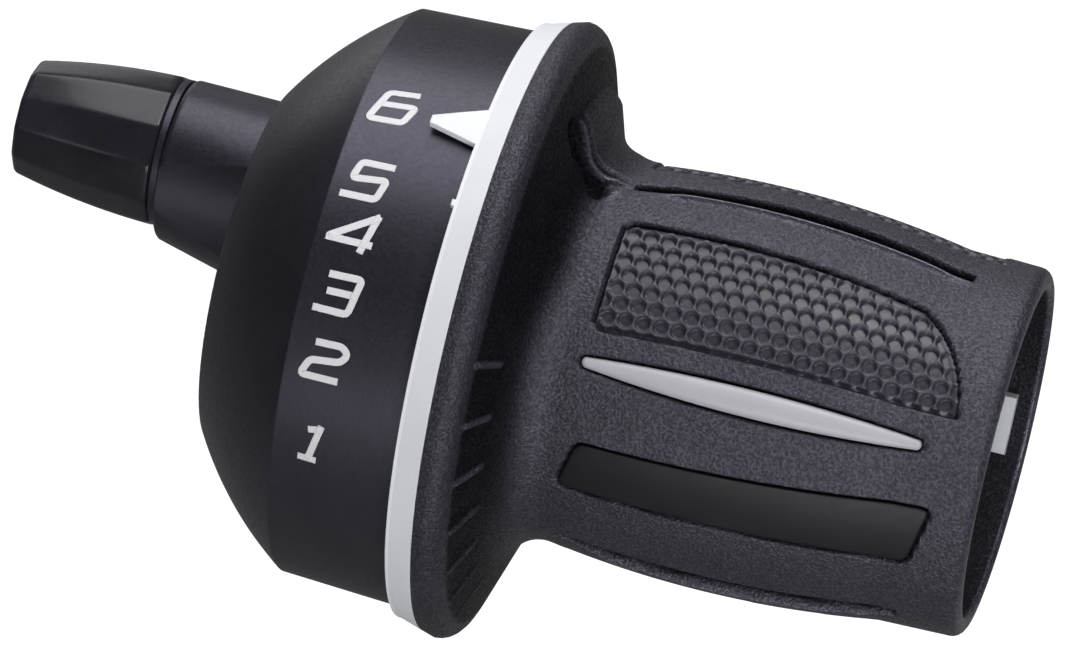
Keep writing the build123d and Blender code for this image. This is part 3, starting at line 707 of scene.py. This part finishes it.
def barrel_relief(x, radius, view, sizes):
    """Deepest cut of panels, spear, plate and grooves, with the beads and their rubbed wear, whose lighter colour
    is
    partly a painted highlight: a bell over the distance from a groove's edge on its lower side. All grooves but the
    low one bow upwards by a parabola in x."""
    edge = sizes.edge_round / MM
    windows = [(centre, panel_outline(half), PANEL_FLOOR) for _, centre, half, _, _ in PANELS]
    windows += [(INLAY_VIEW, spear_outline(INLAY_MARGIN), sizes.inlay_depth / MM),
                (PLATE_VIEW, plate_outline(PLATE_MARGIN), sizes.plate_depth / MM)]
    cuts = [recess(x, radius, view, *window, edge)[0] for window in windows]
    bow = GROOVE_BOW * (1 - ((2 * x - GROOVE_START - GROOVE_END) / (GROOVE_END - GROOVE_START)) ** 2)
    faded = fade(x, *BEAD_START) * fade(x, *BEAD_END)
    beads = wear_and_highlight = np.zeros_like(cuts[0])
    for centre in GROOVE_VIEWS + BACK_GROOVE_VIEWS:
        bowed = view - bow * (centre > 0)
        cut, reach, across = recess(
            x, radius, bowed, centre, groove_outline(), sizes.groove_depth / MM, GROOVE_EASE * edge)
        bead = bell(reach, *BEAD) * (across < 0) * faded
        cuts.append(cut)
        beads = beads + bead
        # Rubbed beads: their lighter colour is partly a painted highlight, weaker on the low groove
        wear_and_highlight = np.maximum(wear_and_highlight, bead * (1.0 if centre > 0 else LOW_BEAD_WEAR_AND_HIGHLIGHT))
    return np.minimum.reduce(cuts), beads, wear_and_highlight


def rib_share(radius, view, slope):
    """Ribs down the flange's back: a width round evenly turned spokes, faded at both ends of the slope."""
    turn = turned_by(RIB_FIRST_VIEW, view)
    spoke = (turn + RIB_PITCH / 2) % RIB_PITCH - RIB_PITCH / 2
    number = np.round((turn - spoke) / RIB_PITCH)
    rib = fade(np.abs(np.radians(spoke)) * radius, *RIB_EDGE) * ((number >= 0) & (number < RIB_COUNT))
    return rib * np.interp(number, *RIB_FALL) * fade(slope, *RIB_TOP) * fade(slope, *RIB_FOOT)


def rubber_height(x, radius, view, along, sizes):
    """Height of the skin over its base, and its mark of painted shade and wear. The height sums the barrel's cuts
    and beads, the ribs, the pad with a channel along its lower edge, the bell-shaped hollow below it and the lip at
    the hollow's foot. The mark falls from a half to 0 as painted shade in hollows, deep cuts, the channel and
    behind the flange, and where the pad and the front are darker; it rises to 1 on rubbed edges, whose lighter
    colour is partly a painted highlight."""
    cut, beads, wear_and_highlight = barrel_relief(x, radius, view, sizes)
    slope = (RIM_BACK[1] - radius) / (RIM_BACK[1] - ROOT[1])
    rib = rib_share(radius, view, slope) * (along == SLOPE_RUN)
    back = (along >= SLOPE_RUN) & (along <= BARREL_RUN)
    turn = turned_by(view, (PAD_VIEWS[0] + PAD_VIEWS[1]) / 2)
    inside = ((PAD_VIEWS[1] - PAD_VIEWS[0]) / 2 - np.abs(turn)) / PAD_EASE
    pad = fade(inside, 0, 1) * fade(radius, *PAD_TOP) * fade(x, *PAD_FOOT) * back
    low_side = pad * (turn < 0)
    channel = bell(inside, *CHANNEL) * low_side
    drop = np.clip((HOLLOW_TOP_R - radius) / (HOLLOW_TOP_R - sizes.neck_radius / MM), 0, 1)
    aside = np.radians(turned_by(view, HOLLOW_VIEW)) * radius
    hollow = bell(aside, 0, HOLLOW_HALF + HOLLOW_WIDER * drop) * fade(drop, 0, HOLLOW_TOP)
    hollow = hollow * fade(x, *HOLLOW_FOOT) * back
    rise = np.radians(turned_by(view, LIP_VIEW)) * radius
    run = x - LIP_X
    cosine, sine = LIP_SLANT
    lip = bell(cosine * run, sine * rise, LIP_WIDTH) * bell(sine * run, -cosine * rise, LIP_LENGTH) * back
    height = (cut * (along >= BARREL_RUN) + sizes.bead_height / MM * beads + sizes.rib_height / MM * rib
              + sizes.pad_height / MM * (pad - CHANNEL_DEPTH * channel)
              - sizes.hollow_depth / MM * hollow + LIP_HEIGHT * lip)
    # Rubbed edges of the pad, the channel, the lip, the ribs and the end, lighter partly as painted highlight
    pad_rims = (bell(inside, *PAD_RIM) + CHANNEL_RIM_WEAR_AND_HIGHLIGHT * bell(inside, *CHANNEL_RIM)) * low_side
    end_lip = fade(x, *END_LIP) * (along > BARREL_RUN)
    wear_and_highlight = np.maximum.reduce(np.broadcast_arrays(
        wear_and_highlight, PAD_RIM_WEAR_AND_HIGHLIGHT * pad_rims, lip, RIB_WEAR_AND_HIGHLIGHT * rib, END_LIP_WEAR_AND_HIGHLIGHT * end_lip))
    # Painted shade behind the flange, less on the pad, in deep cuts and along the channel, with a darker pad and
    # front
    shade_x = SHADE_X + SHADE_LONGER * fade(np.abs(turned_by(view, SHADE_VIEW)), *SHADE_TURNS)
    shade = SHADE * fade(slope, 0, SHADE_TOP) * fade(x, shade_x + SHADE_EASE, shade_x - SHADE_EASE) * back
    painted_shade_and_darkening = np.maximum.reduce(np.broadcast_arrays(
        shade * (1 - PAD_LESS_SHADE * pad), PAD_DARKENING * pad, channel, FRONT_DARKENING * (along < SLOPE_RUN),
        fade(height, *DEEP_SHADE)))
    return height, 0.5 - 0.5 * painted_shade_and_darkening * (1 - wear_and_highlight) + 0.5 * wear_and_highlight


def spread_views(start, end, count, grooves):
    """View angles from a start up to an end, so many times as dense beside the long grooves as elsewhere."""
    spot = np.linspace(start, end, 2000)
    middles = np.array(grooves) + GROOVE_BOW / 2
    weight = np.where((np.abs(spot[:, None] - middles) < SPREAD_REACH).any(1), SPREAD_DENSER, 1)
    share = np.concatenate([[0], np.cumsum(weight[:-1])])
    return np.interp(np.arange(count) / count * share[-1], share, spot)


class SHIFTER_OT_rubber(Operator):
    """Builds the rubber flange and barrel as one turned skin with its recesses and raised forms"""

    bl_idname = "shifter.rubber"
    bl_label = "Rubber sleeve"

    def execute(self, context):
        scene = context.scene
        sizes, finishes = scene.shifter_rubber, scene.shifter_finishes
        skin, inner = rubber_profile(sizes)
        along = np.searchsorted(np.cumsum(RUN_ROWS), np.arange(len(skin)) - 0.5)[:, None]
        view = np.concatenate([
            spread_views(*FRONT_VIEWS, sizes.front_columns, GROOVE_VIEWS[:1]),
            spread_views(FRONT_VIEWS[1], FRONT_VIEWS[0] + 360, sizes.back_columns, BACK_GROOVE_VIEWS)])[None, :]
        normal = square_to(skin)
        height, tone = rubber_height(skin[:, :1], skin[:, 1:], view, along, sizes)
        outer = polar(skin[:, :1] + height * normal[:, :1], skin[:, 1:] + height * normal[:, 1:], view)
        inside = polar(inner[:, :1], inner[:, 1:], view)
        points = np.concatenate([outer, inside])
        faces = grid_quads(*points.shape[:2], wrap_rows=True, wrap_columns=True)
        material = shared("rubber_grained", grained_rubber, finishes.rubber, rough=0.46)
        # Inside the rubber the end lip is lighter, partly as painted highlight, and the bore darker as painted
        # shade
        inner_shade_wear_and_highlight = np.where(inner[:, :1] > END_LIP[0], *INNER_SHADE_WEAR_AND_HIGHLIGHT) + 0 * view
        marks = {"tone": np.concatenate([tone.ravel(), inner_shade_wear_and_highlight.ravel()])}
        add_object("rubber_sleeve", points, faces, 50, "grip", material, ["grip_sleeve"], marks)
        return {"FINISHED"}


def dimple_slab(name, centre, half, cells, moat_depth, sizes, material):
    """Slab under a panel's window: lands follow the barrel, and round flat pits lie on a six-sided lattice."""
    pitch = sizes.dimple_pitch / MM
    row_pitch = pitch * sqrt(0.75)
    x = np.arange(PANEL_START - SLAB_MARGIN - SLAB_NOSE, PANEL_END + SLAB_MARGIN, pitch / cells)[:, None]
    across = np.arange(-half - SLAB_MARGIN, half + SLAB_MARGIN, pitch / cells)[None, :]
    row = np.round(across / row_pitch)
    reach = np.full(np.broadcast(x, across).shape, FAR)
    for neighbour in (-1, 0, 1):
        nearest_row = row + neighbour
        shift = (nearest_row % 2) * pitch / 2
        along = (x - PANEL_START - shift + pitch / 2) % pitch - pitch / 2
        reach = np.minimum(reach, np.hypot(along, across - nearest_row * row_pitch))
    radius = sizes.dimple_radius / MM
    moat = sizes.moat_width / MM
    inward = -signed_distance(*np.broadcast_arrays(x, across), panel_outline(half))
    field = fade(inward, moat, moat + FIELD_EASE)
    pit = fade(reach - radius, *PIT_EDGE) * field
    land = LAND_SWELL * np.cos(np.clip((reach - radius) / (pitch / 2 - radius), 0, 1) * pi)
    height = -sizes.panel_sink / MM - land - sizes.dimple_depth / MM * pit - moat_depth * (1 - field)
    base = barrel_radius(x, sizes)
    view = centre + np.degrees(np.arcsin(across / base))
    top = polar(x, base + height, view)
    low = polar(x, base - SLAB_BOTTOM - 0 * across, view)
    rows, columns = top.shape[:2]
    number = np.arange(rows * columns).reshape(rows, columns)
    loop = np.concatenate([number[0], number[1:, -1], number[-1, -2::-1], number[-2:0:-1, 0]])
    skirt = rows * columns + np.arange(len(loop))
    points = np.concatenate([top.reshape(-1, 3), low.reshape(-1, 3)[loop], low[rows // 2, columns // 2][None]])
    walls = np.stack([loop, skirt, np.roll(skirt, -1), np.roll(loop, -1)], -1)
    fan = np.stack([skirt, np.full(len(loop), skirt[-1] + 1), np.roll(skirt, -1)], -1)
    faces = grid_quads(rows, columns).tolist() + walls.tolist() + fan.tolist()
    floors = np.concatenate([pit.ravel(), np.zeros(len(loop) + 1)])
    add_object(name, points, faces, 60, "grip", material, marks={"pit": floors})


class SHIFTER_OT_dimples(Operator):
    """Builds the dimple panels that show in the rubber's windows"""

    bl_idname = "shifter.dimples"
    bl_label = "Dimple panels"

    def execute(self, context):
        scene = context.scene
        sizes, finishes = scene.shifter_rubber, scene.shifter_finishes
        material = shared("rubber_dimpled", dimpled_rubber, finishes.rubber, rough=0.4)
        for panel in PANELS:
            dimple_slab(*panel, sizes, material)
        return {"FINISHED"}


def on_barrel(outline, height, centre, sizes):
    """Points drawn as (length, width) laid on the barrel at a height over its face."""
    base = barrel_radius(outline[..., 0], sizes)
    return polar(outline[..., 0], base + height, centre + np.degrees(np.arcsin(outline[..., 1] / base)))


class SHIFTER_OT_inlay(Operator):
    """Builds the grey spear as a lens section carried along its length"""

    bl_idname = "shifter.inlay"
    bl_label = "Grey spear"

    def execute(self, context):
        scene = context.scene
        sizes, trim, finishes = scene.shifter_rubber, scene.shifter_trim, scene.shifter_finishes
        upper, lower = spear_edges(0.0, 90)
        across = np.linspace(0, pi, 17)
        share = (1 - np.cos(across))[None, :, None] / 2
        face = upper[:, None] * (1 - share) + lower[:, None] * share
        swell = np.sqrt(np.clip((upper - lower)[:, 1:] / (INLAY_UP + INLAY_DOWN), 0, 1))
        crest = np.sin(across)[None, :] ** INLAY_CREST * swell
        rise = trim.inlay_rise / MM - INLAY_SIDE
        belly = sizes.inlay_depth / MM - INLAY_THINNER
        top = on_barrel(face, INLAY_SIDE + rise * crest, INLAY_VIEW, sizes)
        bottom = on_barrel(face[:, ::-1], INLAY_SIDE - belly * crest, INLAY_VIEW, sizes)
        points = np.concatenate([top, bottom[:, 1:-1]], 1)
        faces = grid_quads(*points.shape[:2], wrap_columns=True)
        material = shared("inlay_satin", satin, finishes.inlay, rough=0.38)
        add_object("grey_spear", points, faces, 60, "grip", material, ["grip_inlay"])
        return {"FINISHED"}


class SHIFTER_OT_plate(Operator):
    """Builds the gloss plate as rings that step in from its outline, with a rolled edge"""

    bl_idname = "shifter.plate"
    bl_label = "Gloss plate"

    def execute(self, context):
        scene = context.scene
        sizes, trim, finishes = scene.shifter_rubber, scene.shifter_trim, scene.shifter_finishes
        outline = evened(plate_outline(0.0), PLATE_STEP, closed=True)
        centre = np.mean(PLATE_CORNERS, 0)
        sink = -trim.plate_sink / MM
        floor = -sizes.plate_depth / MM + PLATE_OVER_FLOOR
        pulled = [(1 - (1 - share) * np.array(PLATE_EDGE_PULL), sink + step) for share, step in PLATE_EDGE]
        rings = [(0.0, floor), (1.0, floor), *pulled, *((share, sink) for share in PLATE_RINGS)]
        points = np.stack([on_barrel(centre + (outline - centre) * share, height, PLATE_VIEW, sizes)
                           for share, height in rings])
        faces = grid_quads(*points.shape[:2], wrap_columns=True)
        material = shared("plate_polished", gloss_black, finishes.plate, rough=0.42, coat=0.0)
        add_object("gloss_plate", points, faces, 40, "grip", material, ["grip_plate"])
        return {"FINISHED"}


# Numerals: strokes drawn in millimetres on the drum, as (along the bar, up round it)

NUMERALS = {
    "1": (-7.87, -31.7, [[(-0.3, 1.25), (0.85, 1.5)], [(0.86, 1.85), (0.0, -1.7)], [(-0.94, -1.65), (0.75, -1.7)]]),
    "2": (-7.77, -14.5, [[(-1.1, 1.5), (1.35, 1.6), (1.95, 1.0), (1.4, 0.2), (-1.3, -0.15), (-1.95, -1.6),
                          (1.5, -1.55)]]),
    "3": (-7.94, -1.3, [[(-1.15, 1.5), (1.85, 1.6), (1.25, -1.6), (-1.9, -1.6)], [(-1.0, 0.05), (1.55, 0.1)]]),
    "4": (-8.06, 11.0, [[(1.05, -1.8), (1.9, 1.75)], [(2.05, 1.7), (-1.95, -0.85)], [(-2.2, -0.95), (2.0, -0.95)]]),
    "5": (-8.15, 21.4, [[(2.05, 1.65), (-0.95, 1.6), (-1.4, -0.05), (1.7, 0.3), (1.2, -1.6), (-2.05, -1.65)]]),
    "6": (-8.19, 38.8, [[(1.85, 1.8), (-0.85, 1.5), (-1.85, -1.75), (1.25, -1.6), (1.9, 0.3), (-1.1, 0.05)]]),
}
CORNER_ROUND = 0.42
PRINT_STEP = 0.12
PRINT_ROOT = -0.08


def stroke_path(points):
    """Open path in even steps, its inner corners rounded."""
    points = np.asarray(points, float)
    corners = bends(points[:-2], points[1:-1], points[2:], CORNER_ROUND, 7)
    return evened(np.concatenate([points[:1], corners, points[-1:]]), PRINT_STEP)


def stroke_points(points, centre_x, centre_view, width, rise):
    """Flat bar carried along a stroke on the drum, its ends closed."""
    path = stroke_path(points)
    side = square_to(path) * width / 2
    edges = np.stack([path - side, path + side, path + side, path - side], 1)
    x = centre_x + edges[..., 0]
    drum = CREASE_R + (x - CREASE_X) / -CREASE_X * (DRUM_R - CREASE_R)
    layer = np.array([PRINT_ROOT, PRINT_ROOT, rise, rise])
    solid = polar(x, drum + layer, centre_view + np.degrees(edges[..., 1] / drum))
    first, last = (end.mean(1, keepdims=True).repeat(4, 1) for end in (solid[:1], solid[-1:]))
    return np.concatenate([first, solid, last])


class SHIFTER_OT_numerals(Operator):
    """Prints the six gear numbers on the drum as thin raised strokes"""

    bl_idname = "shifter.numerals"
    bl_label = "Numerals"

    def execute(self, context):
        scene = context.scene
        trim, finishes = scene.shifter_trim, scene.shifter_finishes
        material = shared("numeral_print", satin, finishes.numerals, rough=0.5, grain=0.1)
        for digit, (centre_x, centre_view, strokes) in NUMERALS.items():
            solids = [stroke_points(stroke, centre_x, centre_view, trim.stroke / MM, trim.print_height / MM)
                      for stroke in strokes]
            starts = np.cumsum([0] + [4 * len(solid) for solid in solids])
            faces = np.concatenate([grid_quads(len(solid), 4, wrap_columns=True) + start
                                    for solid, start in zip(solids, starts)])
            add_object(f"numeral_{digit}", np.concatenate(solids), faces, 40, "body", material)
        return {"FINISHED"}


# Adjuster: the rounds of its foot and tip as (length, radius) from there, its flats, its socket and its thread

FOOT_ROUND = ((0.0, -0.35), (-0.1, -0.1), (-0.35, 0.0))
TIP_ROUND = ((0.7, 0.06), (0.2, -0.2), (0.0, -0.75))
COLLAR_GAP = 0.05
FLAT_SHARPNESS = 90.0
FLAT_CORNER = 0.997
FLAT_FROM = 0.1
SOCKET_R = 2.6
SOCKET_EASE = 0.4
SOCKET_DEPTH = 9.0
HOLE_R = 1.1
SHANK_EASE = 0.5
THREAD_DEPTH = 0.3


def knob_radius(turn, radius, sides):
    """Many-sided section: a flat's distance over the cosine from its middle, its corners held under a circle."""
    step = tau / sides
    flat = radius * cos(step / 2) / np.cos(turn % step - step / 2)
    return (flat ** -FLAT_SHARPNESS + (radius * FLAT_CORNER) ** -FLAT_SHARPNESS) ** (-1 / FLAT_SHARPNESS)


class SHIFTER_OT_adjuster(Operator):
    """Builds the cable adjuster: a tapered knob with shallow flats, its socket and its threaded shank"""

    bl_idname = "shifter.adjuster"
    bl_label = "Cable adjuster"

    def execute(self, context):
        scene = context.scene
        trim, finishes = scene.shifter_trim, scene.shifter_finishes
        base_x = COLLAR_LOW[0] - COLLAR_GAP
        end_x, shank_x = KNOB_LOW[0], KNOB_HIGH[0]
        base, middle, end, shank = (
            value / MM for value in (trim.knob_base, trim.knob_middle, trim.knob_end, trim.shank))
        foot = arc(*(np.array([base_x, base]) + FOOT_ROUND), 6)
        tip = arc(*(np.array([end_x, end]) + TIP_ROUND), 8)
        body = arc(foot[-1], ((base_x + end_x) / 2, middle), tip[0], 24)
        outside = joined(np.linspace((base_x, shank), foot[0], 3), foot, body, tip)
        bottom_x = end_x + SOCKET_DEPTH
        socket = through([
            tip[-1], (end_x, SOCKET_R + SOCKET_EASE), (end_x + SOCKET_EASE, SOCKET_R), (bottom_x, SOCKET_R),
            (bottom_x, HOLE_R), (shank_x, HOLE_R), (shank_x, shank - SHANK_EASE)], (3, 2, 3, 2, 2, 2))
        path = joined(outside, socket)
        turn = np.linspace(0, tau, 144, endpoint=False)[None, :]
        flats = (np.arange(len(path))[:, None] < len(outside)) & (path[:, 1:] > shank + FLAT_FROM)
        radius = np.where(flats, knob_radius(turn, path[:, 1:], trim.knob_sides), path[:, 1:])
        thread_x = np.linspace(shank_x, base_x, 140)[:, None]
        wave = np.abs(((thread_x / (trim.lead / MM) + turn / tau) % 1) * 2 - 1)
        thread = shank - THREAD_DEPTH * fade(wave, 0, 1)
        x, radius = np.concatenate([path[:, :1], thread_x]), np.concatenate([radius, thread])
        points = beside(x, radius, turn, KNOB_AXIS)
        faces = grid_quads(*points.shape[:2], wrap_rows=True, wrap_columns=True)
        material = shared("adjuster_polished", gloss_black, finishes.adjuster, rough=0.22, coat=0.15)
        add_object("adjuster_body", points, faces, 35, "adjuster", material, ["adjuster_knob"])
        return {"FINISHED"}


class SHIFTER_OT_mouldings(Operator):
    """Gives the housing, the cover, the collar and the rotor their moulded finishes"""

    bl_idname = "shifter.mouldings"
    bl_label = "Mouldings"

    def execute(self, context):
        finishes = context.scene.shifter_finishes
        black = shared("housing_matte", moulded_black, finishes.housing, rough=0.38, grain=0.25)
        dress(black, "housing", "cable_cover", "adjuster_collar")
        dress(shared("rotor_satin", satin, finishes.ring, rough=0.42), "rotor")
        return {"FINISHED"}


class SHIFTER_OT_metal(Operator):
    """Gives the screws, the nut and the springs their plated finish"""

    bl_idname = "shifter.metal"
    bl_label = "Screws and springs"

    def execute(self, context):
        finishes = context.scene.shifter_finishes
        steel = shared("steel_plated", plated_steel, finishes.steel)
        dress(steel, "cover_screw", "clamp_screw", "clamp_nut", "detent_spring", "adjuster_spring")
        return {"FINISHED"}


# Studio: each lamp's power has its name in the settings, and here are its place, its target and its size

LAMPS = {
    "key": ((-55, 225, 445), (0, 0, 0), (490, 560)),
    "spot": ((90, 70, 480), (0, 0, 0), (120, 150)),
    "fill": ((130, -548, 20), (0, 0, 0), (440, 200)),
    "side": ((-330, -470, 250), (-30, 0, 0), (160, 120)),
    "behind": ((-300, 420, 10), (0, 0, 0), (350, 180)),
    "right": ((430, -330, 260), (30, 0, 0), (120, 120)),
}
FLOOR_REACH = 4.0
FLOOR_GLOW = 0.92
WHITE = (1.0, 1.0, 1.0, 1.0)


def seen(tree, elsewhere, by_camera):
    """One value where the camera looks, and another elsewhere."""
    ray = add_node(tree, "LightPath").outputs["Is Camera Ray"]
    return add_node(tree, "MapRange", Value=ray, To_Min=elsewhere, To_Max=by_camera).outputs["Result"]


def pale_floor(tree, shader, place, base):
    """Pale matte floor that shows white to the camera and keeps a soft shadow."""
    feed(tree, shader, Roughness=0.9, Specular_IOR_Level=0.1)
    clouded(tree, noise(tree, place, 6, 3), base, (0.99, 1.0), shader.inputs["Base Color"])
    feed(tree, shader, Emission_Color=WHITE, Emission_Strength=seen(tree, 0.0, FLOOR_GLOW))


def room_light(scene, ambient):
    """Even light from the room, white where the camera looks at it."""
    world = bpy.data.worlds.new("studio_room")
    scene.world = world
    world.use_nodes = True
    tree = world.node_tree
    feed(tree, tree.nodes["Background"], Color=WHITE, Strength=seen(tree, ambient, 1.0))


def add_lamp(name, place, target, size, watts):
    """Rectangular lamp at a place, turned to a target, both in millimetres."""
    lamp = bpy.data.lights.new(name, "AREA")
    lamp.shape = "RECTANGLE"
    lamp.size, lamp.size_y = size[0] * MM, size[1] * MM
    lamp.energy = watts
    where = Vector(place) * MM
    facing = (Vector(target) * MM - where).to_track_quat("-Z", "Y")
    show(name, lamp).matrix_world = Matrix.Translation(where) @ facing.to_matrix().to_4x4()


def photo_camera(scene, studio):
    """Camera of the photograph: the ways along the bar, up and near, written in the picture's axes (right, down and
    away) and in the frame, give the picture's axes in the frame."""
    swing, roll = studio.swing, studio.roll
    bar = np.array([cos(swing) * cos(roll), cos(swing) * sin(roll), -sin(swing)])
    up = np.array([sin(roll), -cos(roll), 0.0])
    half = sqrt(0.5)
    in_frame = np.array([(1, 0, 0), (0, half, half), (0, -half, half)])
    axes = np.stack([bar, up, np.cross(bar, up)]).T @ in_frame
    origin = np.array([studio.origin_right, studio.origin_down, studio.distance])
    camera = bpy.data.cameras.new("photo_camera")
    camera.lens = studio.lens
    turn = Matrix([axes[0], -axes[1], -axes[2]]).transposed()
    scene.camera = show("photo_camera", camera)
    scene.camera.matrix_world = Matrix.Translation(Vector(-origin @ axes)) @ turn.to_4x4()


class SHIFTER_OT_stage(Operator):
    """Sets up the floor, the lamps, the room's light and the camera"""

    bl_idname = "shifter.stage"
    bl_label = "Studio"

    def execute(self, context):
        scene = context.scene
        studio = scene.shifter_studio
        scene.view_settings.view_transform = "Standard"
        corners = np.array([(-1, -1), (1, -1), (1, 1), (-1, 1)]) * FLOOR_REACH
        mesh = bpy.data.meshes.new("studio_floor")
        mesh.from_pydata([(x, y, -studio.drop) for x, y in corners], [], [(0, 1, 2, 3)])
        mesh.materials.append(shared("floor_pale", pale_floor, scene.shifter_finishes.floor))
        floor = show("studio_floor", mesh)
        room_light(scene, studio.ambient)
        for name, lamp in LAMPS.items():
            add_lamp(f"lamp_{name}", *lamp, getattr(studio, name))
        photo_camera(scene, studio)
        return {"FINISHED"}


STEPS = (SHIFTER_OT_stage, SHIFTER_OT_mouldings, SHIFTER_OT_metal, SHIFTER_OT_rubber, SHIFTER_OT_dimples,
         SHIFTER_OT_inlay, SHIFTER_OT_plate, SHIFTER_OT_numerals, SHIFTER_OT_adjuster)
GROUPS = {"shifter_rubber": RubberSizes, "shifter_trim": TrimSizes,
          "shifter_finishes": Finishes, "shifter_studio": StudioSettings}


class SHIFTER_PT_steps(Panel):
    """Lists the steps that dress the shifter"""

    bl_idname = "SHIFTER_PT_steps"
    bl_label = "Twist shifter"
    bl_space_type = "VIEW_3D"
    bl_region_type = "UI"
    bl_category = "Shifter"

    def draw(self, context):
        for step in STEPS:
            self.layout.operator(step.bl_idname)


register_classes, unregister_classes = bpy.utils.register_classes_factory(
    (*GROUPS.values(), *STEPS, SHIFTER_PT_steps))


def register():
    register_classes()
    for name, group in GROUPS.items():
        setattr(bpy.types.Scene, name, PointerProperty(type=group))


def unregister():
    for name in GROUPS:
        delattr(bpy.types.Scene, name)
    unregister_classes()


def main():
    """Registers the add-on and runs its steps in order."""
    register()
    for step in STEPS:
        group, name = step.bl_idname.split(".")
        getattr(getattr(bpy.ops, group), name)()


if __name__ == "__main__":
    main()
